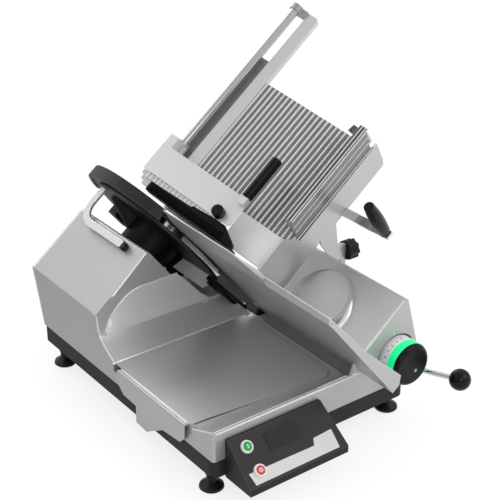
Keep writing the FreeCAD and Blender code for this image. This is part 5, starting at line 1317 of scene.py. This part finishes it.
@dataclass
class Carriage(SubAssembly):
    """The food table with its fence, wall, foot, handle and locking knob."""

    title: str = "carriage"
    ribs: int = 24
    low_d: float = 284.0
    high_d: float = 522.0
    near_a: float = 8.7
    far_a: float = 272.0
    top_n: float = 150.0

    def build(self) -> None:
        """Build and dress every piece of the group."""
        self.ribbed_table()
        self.soften(LOWER, "lower_plate", width=0.0008)
        self.hollow_fence()
        self.fence_details()
        self.soften(WALL, "carriage_wall", width=0.001)
        self.dress(CAST, "carriage_foot", "rod_brackets")
        self.dress(POLISHED, "carriage_rod")
        self.dress(KNOB, "lock_knob", "handle_grip")
        self.soften(POLISHED, "handle_bar", width=0.0012)

    def ribbed_table(self) -> None:
        """Lay the table's rounded ribs side by side on its plate."""
        thing = ribbed_recipe().grow("table_ribs", RIBBED, Ribs=self.ribs, Pitch=11.12 * MM,
                                     Rib_Width=5.2 * MM, Rib_Height=1.6 * MM, Plate=4.0 * MM,
                                     Margin=0.4 * MM, Length=(self.high_d - self.low_d) * MM,
                                     Breadth=(self.far_a - self.near_a) * MM)
        moved(thing, TABLE_TURN @ shift((self.low_d + self.high_d) / 2, self.near_a, self.top_n))
        self.keep(smooth_by_angle(thing, 40.0), RIBBED, rider("food_table"), "food_table")

    def hollow_fence(self) -> None:
        """Draw the fence's hollow outer face with its lengthwise beads."""
        outer = [(-8.3, 249.0), (-9.6, 247.6), (-9.4, 246.2), (-7.2, 245.6), (-7.6, 242.8), (-5.6, 242.2),
                 (-5.9, 239.4), (-3.6, 238.8)]
        steps, beads, bead_height = 12, (4, 8), 2.2
        for step in range(steps + 1):
            share = step / steps
            bead = bead_height if step in beads else 0.0
            outer.append((-3.4 + 8.6 * math.sin(share * math.pi / 2) - bead, 236.5 - 78.0 * share))
        outer += [(3.4, 156.4), (3.0, 152.6), (11.7, 152.6), (11.7, 234.0), (8.7, 246.0), (6.0, 249.0)]
        rows = [[in_table(d, a, n) for a, n in outer] for d in (300.0, 521.0)]
        thing = smooth_by_angle(woven("fence_profile", rows, capped=True), 25.0)
        self.keep(thing, FENCE, "carriage", "fence")

    def fence_details(self) -> None:
        """Draw the fence's edges as pale bars of painted highlight and its grooves as black bars of painted
        shade, and close its upper end.
        """
        edges = [(-5.0, 249.0), (2.2, 249.0), (-9.4, 248.2), (-7.3, 244.2), (-5.6, 240.6), (-1.4, 210.5),
                 (1.8, 184.5), (3.2, 156.0)]
        grooves = [(-1.6, 248.7), (5.6, 248.7)]
        self.keep(smooth_by_angle(self.lengthwise("fence_lines", edges, 0.75), 50.0), LOWER, "carriage")
        self.keep(self.lengthwise("fence_grooves", grooves, 0.9), BLACK, "carriage")
        plate = [(12.0, 214.0), (33.0, 218.0), (58.0, 172.0), (40.0, 158.0), (30.0, 199.0)]
        post = [(11.0, 218.0), (4.3, 174.0), (27.0, 130.0), (40.0, 140.0), (31.0, 199.0)]
        self.plate("fence_end_plate", plate, 2.0, crosswise(TABLE_TURN, 522.0), FENCE, "carriage")
        self.plate("fence_end_post", post, 5.3, crosswise(TABLE_TURN, 524.2), ALU_PLATE, "carriage")

    @staticmethod
    def lengthwise(name: str, lines: Pairs, radius: float) -> Thing:
        """Return thin round bars along the fence, through points of its section.

        Args:
            name: The object's name.
            lines: The a, n of each bar in millimetres.
            radius: The bars' radius in millimetres.

        Returns:
            The bars as one object.
        """
        def fill(work: Work) -> None:
            """Draw the bars one after the other."""
            for a, n in lines:
                round_bar(work, [in_table(d, a, n) for d in (300.5, 520.5)], radius, 8)

        return mesh_from(name, fill)


@dataclass
class Holder(SubAssembly):
    """The rail with the remnant holder, its comb, grip and knob."""

    title: str = "remnant holder"

    def build(self) -> None:
        """Build and dress every piece of the group."""
        self.soften(RAIL, "rail", width=0.0008)
        self.shade_web()
        self.dress(POLISHED, "rail_rod")
        self.soften(ALU_D, "rail_cap", width=0.001)
        self.dress(STEEL, "holder_collars")
        self.soften(PRESS, "holder_plate", width=0.001)
        self.comb()
        self.dress(KNOB, "holder_grip", "holder_knob")
        self.comb_teeth()

    def shade_web(self) -> None:
        """Mark the rail's sunk web for painted shade, darker than its channel."""
        mesh = bpy.data.objects["rail_skin"].data
        spots = (TABLE_TURN.inverted() @ face.center / MM for face in mesh.polygons)
        mark_faces(mesh, GROOVE_MARK, [1.0 if spot.y > 300.0 and spot.z < 150.0 else 0.0 for spot in spots])

    def comb(self) -> None:
        """Build the black comb and the pale notched strip that carries it."""
        body = rider("holder_comb")
        top = [(223.0, 301.0), (227.0, 199.0), (231.0, 195.0), (231.0, 184.0), (234.5, 150.0), (235.0, 118.0),
               (214.0, 80.0), (204.0, 76.0), (204.0, 301.0)]
        self.plate("comb_top", top, 8.0, TABLE_TURN @ shift(0, 0, 189.0), BLACK, body, "holder_comb")
        face = [(96.0, 157.0), (84.0, 157.0), (84.0, 197.0), (301.0, 197.0), (301.0, 178.0), (262.0, 172.0),
                (255.0, 160.0), (128.0, 157.0)]
        self.plate("comb_face", face, 5.0, crosswise(TABLE_TURN, 204.0), BLACK, body)
        strip = ribbed_recipe().grow("comb_carrier", WALL, Ribs=19, Pitch=10.0 * MM, Rib_Width=7.0 * MM,
                                     Rib_Height=0.7 * MM, Length=13.0 * MM, Breadth=190.0 * MM,
                                     Plate=5.0 * MM, Margin=1.0 * MM)
        moved(strip, TABLE_TURN @ shift(230.5, 132.0, 195.8))
        self.keep(smooth_by_angle(strip, 40.0), WALL, body)
        block = [(236.0, 334.0), (228.0, 334.0), (228.0, 328.0), (218.0, 328.0), (218.0, 320.0),
                 (210.0, 320.0), (210.0, 306.0), (216.0, 302.0), (236.0, 302.0)]
        self.plate("comb_end_block", block, 9.0, TABLE_TURN @ shift(0, 0, 183.0), WALL, body)

    def comb_teeth(self) -> None:
        """Set the rows of points on the comb's face and of spikes on its top."""
        row = row_recipe()
        outward = (in_table(-1, 0, 0) - in_table(0, 0, 0)).normalized()
        upward = (in_table(0, 0, 1) - in_table(0, 0, 0)).normalized()
        face = [(202.5, n) for n in (160.0, 166.0, 172.0)]
        top = [(d, 198.4) for d in (206.0, 210.5, 215.0, 219.5)]
        for kind, spots, count, span, point, width, height in (
                ("comb_points", face, 26, (132.0, 258.0), outward, 1.8, 4.0),
                ("comb_spikes", top, 34, (110.0, 292.0), upward, 1.9, 4.4)):
            for number, (d, n) in enumerate(spots, start=1):
                start, end = (tuple(in_table(d, a, n)) for a in span)
                thing = row.grow(f"{kind}_{number}", BLACK, Count=count, Start=start, End=end,
                                 Point=tuple(point), Width=width * MM, Height=height * MM)
                self.keep(thing, BLACK, rider("holder_comb"))


@dataclass
class Studio:
    """The camera, the pale floor and the soft light."""

    place: tuple[float, float, float] = (-1.2021, -1.6874, 1.3456)
    azimuth: float = -37.0
    elevation: float = 27.035
    focal_pixels: float = 1279.25
    frame_pixels: float = 500.0
    sensor: float = 36.0
    floor_radius: float = 9.0
    even_light: float = 0.28

    def camera(self) -> None:
        """Set the camera of the photograph."""
        data = bpy.data.cameras.new("camera")
        data.sensor_width = self.sensor
        data.lens = self.focal_pixels * self.sensor / self.frame_pixels
        data.clip_end = 60.0
        eye = add_object("camera", data)
        turn, rise = math.radians(self.azimuth), math.radians(self.elevation)
        look = Vector((-math.sin(turn) * math.cos(rise), math.cos(turn) * math.cos(rise), -math.sin(rise)))
        eye.location = self.place
        eye.rotation_euler = look.to_track_quat("-Z", "Y").to_euler()
        bpy.context.scene.camera = eye

    def floor(self) -> None:
        """Lay the pale floor, which keeps the shadow and looks darker to the left in polished metal."""
        profile = [(0, 0), (self.floor_radius / MM, 0)]
        thing = mesh_from("floor", lambda work: turned_ring(work, profile, Matrix.Identity(4), 64))
        desk = Desk("floor_pale")
        rays = desk.add("ShaderNodeLightPath").outputs
        where = desk.split(desk.place)
        across = desk.math("SUBTRACT", where["X"], where["Y"])
        mirrored = desk.spread(across, 0.20, 0.85, -1.2, 1.4)
        seen = desk.math("MULTIPLY", rays["Is Camera Ray"], 0.80)
        glossy = desk.math("MULTIPLY", rays["Is Glossy Ray"], mirrored)
        desk.feed(Base_Color=desk.tint(rays["Is Diffuse Ray"], grey(0.22), grey(0.80)), Roughness=0.9,
                  Emission_Color=(1.0, 1.0, 1.0, 1.0), Emission_Strength=desk.math("ADD", seen, glossy))
        thing.data.materials.append(desk.material)

    def world(self) -> None:
        """Light the room from above, with two broad pale areas: front right above and at the back."""
        world = bpy.data.worlds.new("room")
        world.use_nodes = True
        room = Nodes(world.node_tree)
        room.tree.nodes.clear()
        where = room.add("ShaderNodeTexCoord").outputs["Generated"]
        total = self.even_light
        for direction, start, strength in (((0.0, 0.0, 1.0), -0.2, 0.30), ((0.60, -0.50, 0.62), 0.55, 0.55),
                                           ((0.10, 0.85, 0.50), 0.45, 0.55)):
            aimed = {0: where, 1: Vector(direction).normalized()}
            facing = room.add("ShaderNodeVectorMath", aimed, operation="DOT_PRODUCT").outputs["Value"]
            links = {"Value": facing, "From Min": start, "From Max": 1.0, "To Min": 0.0, "To Max": strength}
            glow = room.add("ShaderNodeMapRange", links, interpolation_type="SMOOTHSTEP").outputs["Result"]
            total = room.math("ADD", total, glow)
        back = room.add("ShaderNodeBackground", {"Color": (1.0, 1.0, 1.0, 1.0), "Strength": total})
        room.add("ShaderNodeOutputWorld", {"Surface": back.outputs[0]})
        bpy.context.scene.world = world

    def lamp(self, name: str, place: tuple[float, float, float], size: tuple[float, float],
             power: float) -> None:
        """Hang one soft rectangular lamp that looks at the object."""
        data = bpy.data.lights.new(name, "AREA")
        data.shape = "RECTANGLE"
        data.size, data.size_y = size
        data.energy = power
        thing = add_object(name, data)
        thing.location = place
        aim = Vector((0.0, 0.0, 0.25)) - Vector(place)
        thing.rotation_euler = aim.to_track_quat("-Z", "Y").to_euler()

    def build(self) -> None:
        """Set up camera, floor, room light and lamps."""
        self.camera()
        self.floor()
        self.world()
        self.lamp("key", (-2.0, 0.9, 2.2), (1.6, 1.4), 7.0)
        self.lamp("front", (-1.2, -2.8, 1.9), (1.6, 1.2), 16.0)
        self.lamp("fill", (1.6, -2.4, 2.4), (1.8, 1.4), 22.0)
        self.lamp("rim", (0.4, 2.6, 2.0), (1.8, 1.2), 20.0)
        bpy.context.scene.view_settings.view_transform = "Standard"


def report_size() -> None:
    """Update the view layer."""
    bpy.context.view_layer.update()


def main() -> None:
    """Build the studio and every group of the machine in order."""
    logging.basicConfig(level=logging.INFO, format="%(name)s: %(message)s")
    Studio().build()
    groups = [CastBody(), BladeUnit(), Gauge(), Dial(), BallLever(), Tray(), Panel(), Carriage(), Holder()]
    for group in groups:
        group.build()
        log.info("%s: %s", group.title, ", ".join(group.made))
    report_size()


if __name__ == "__main__":
    main()
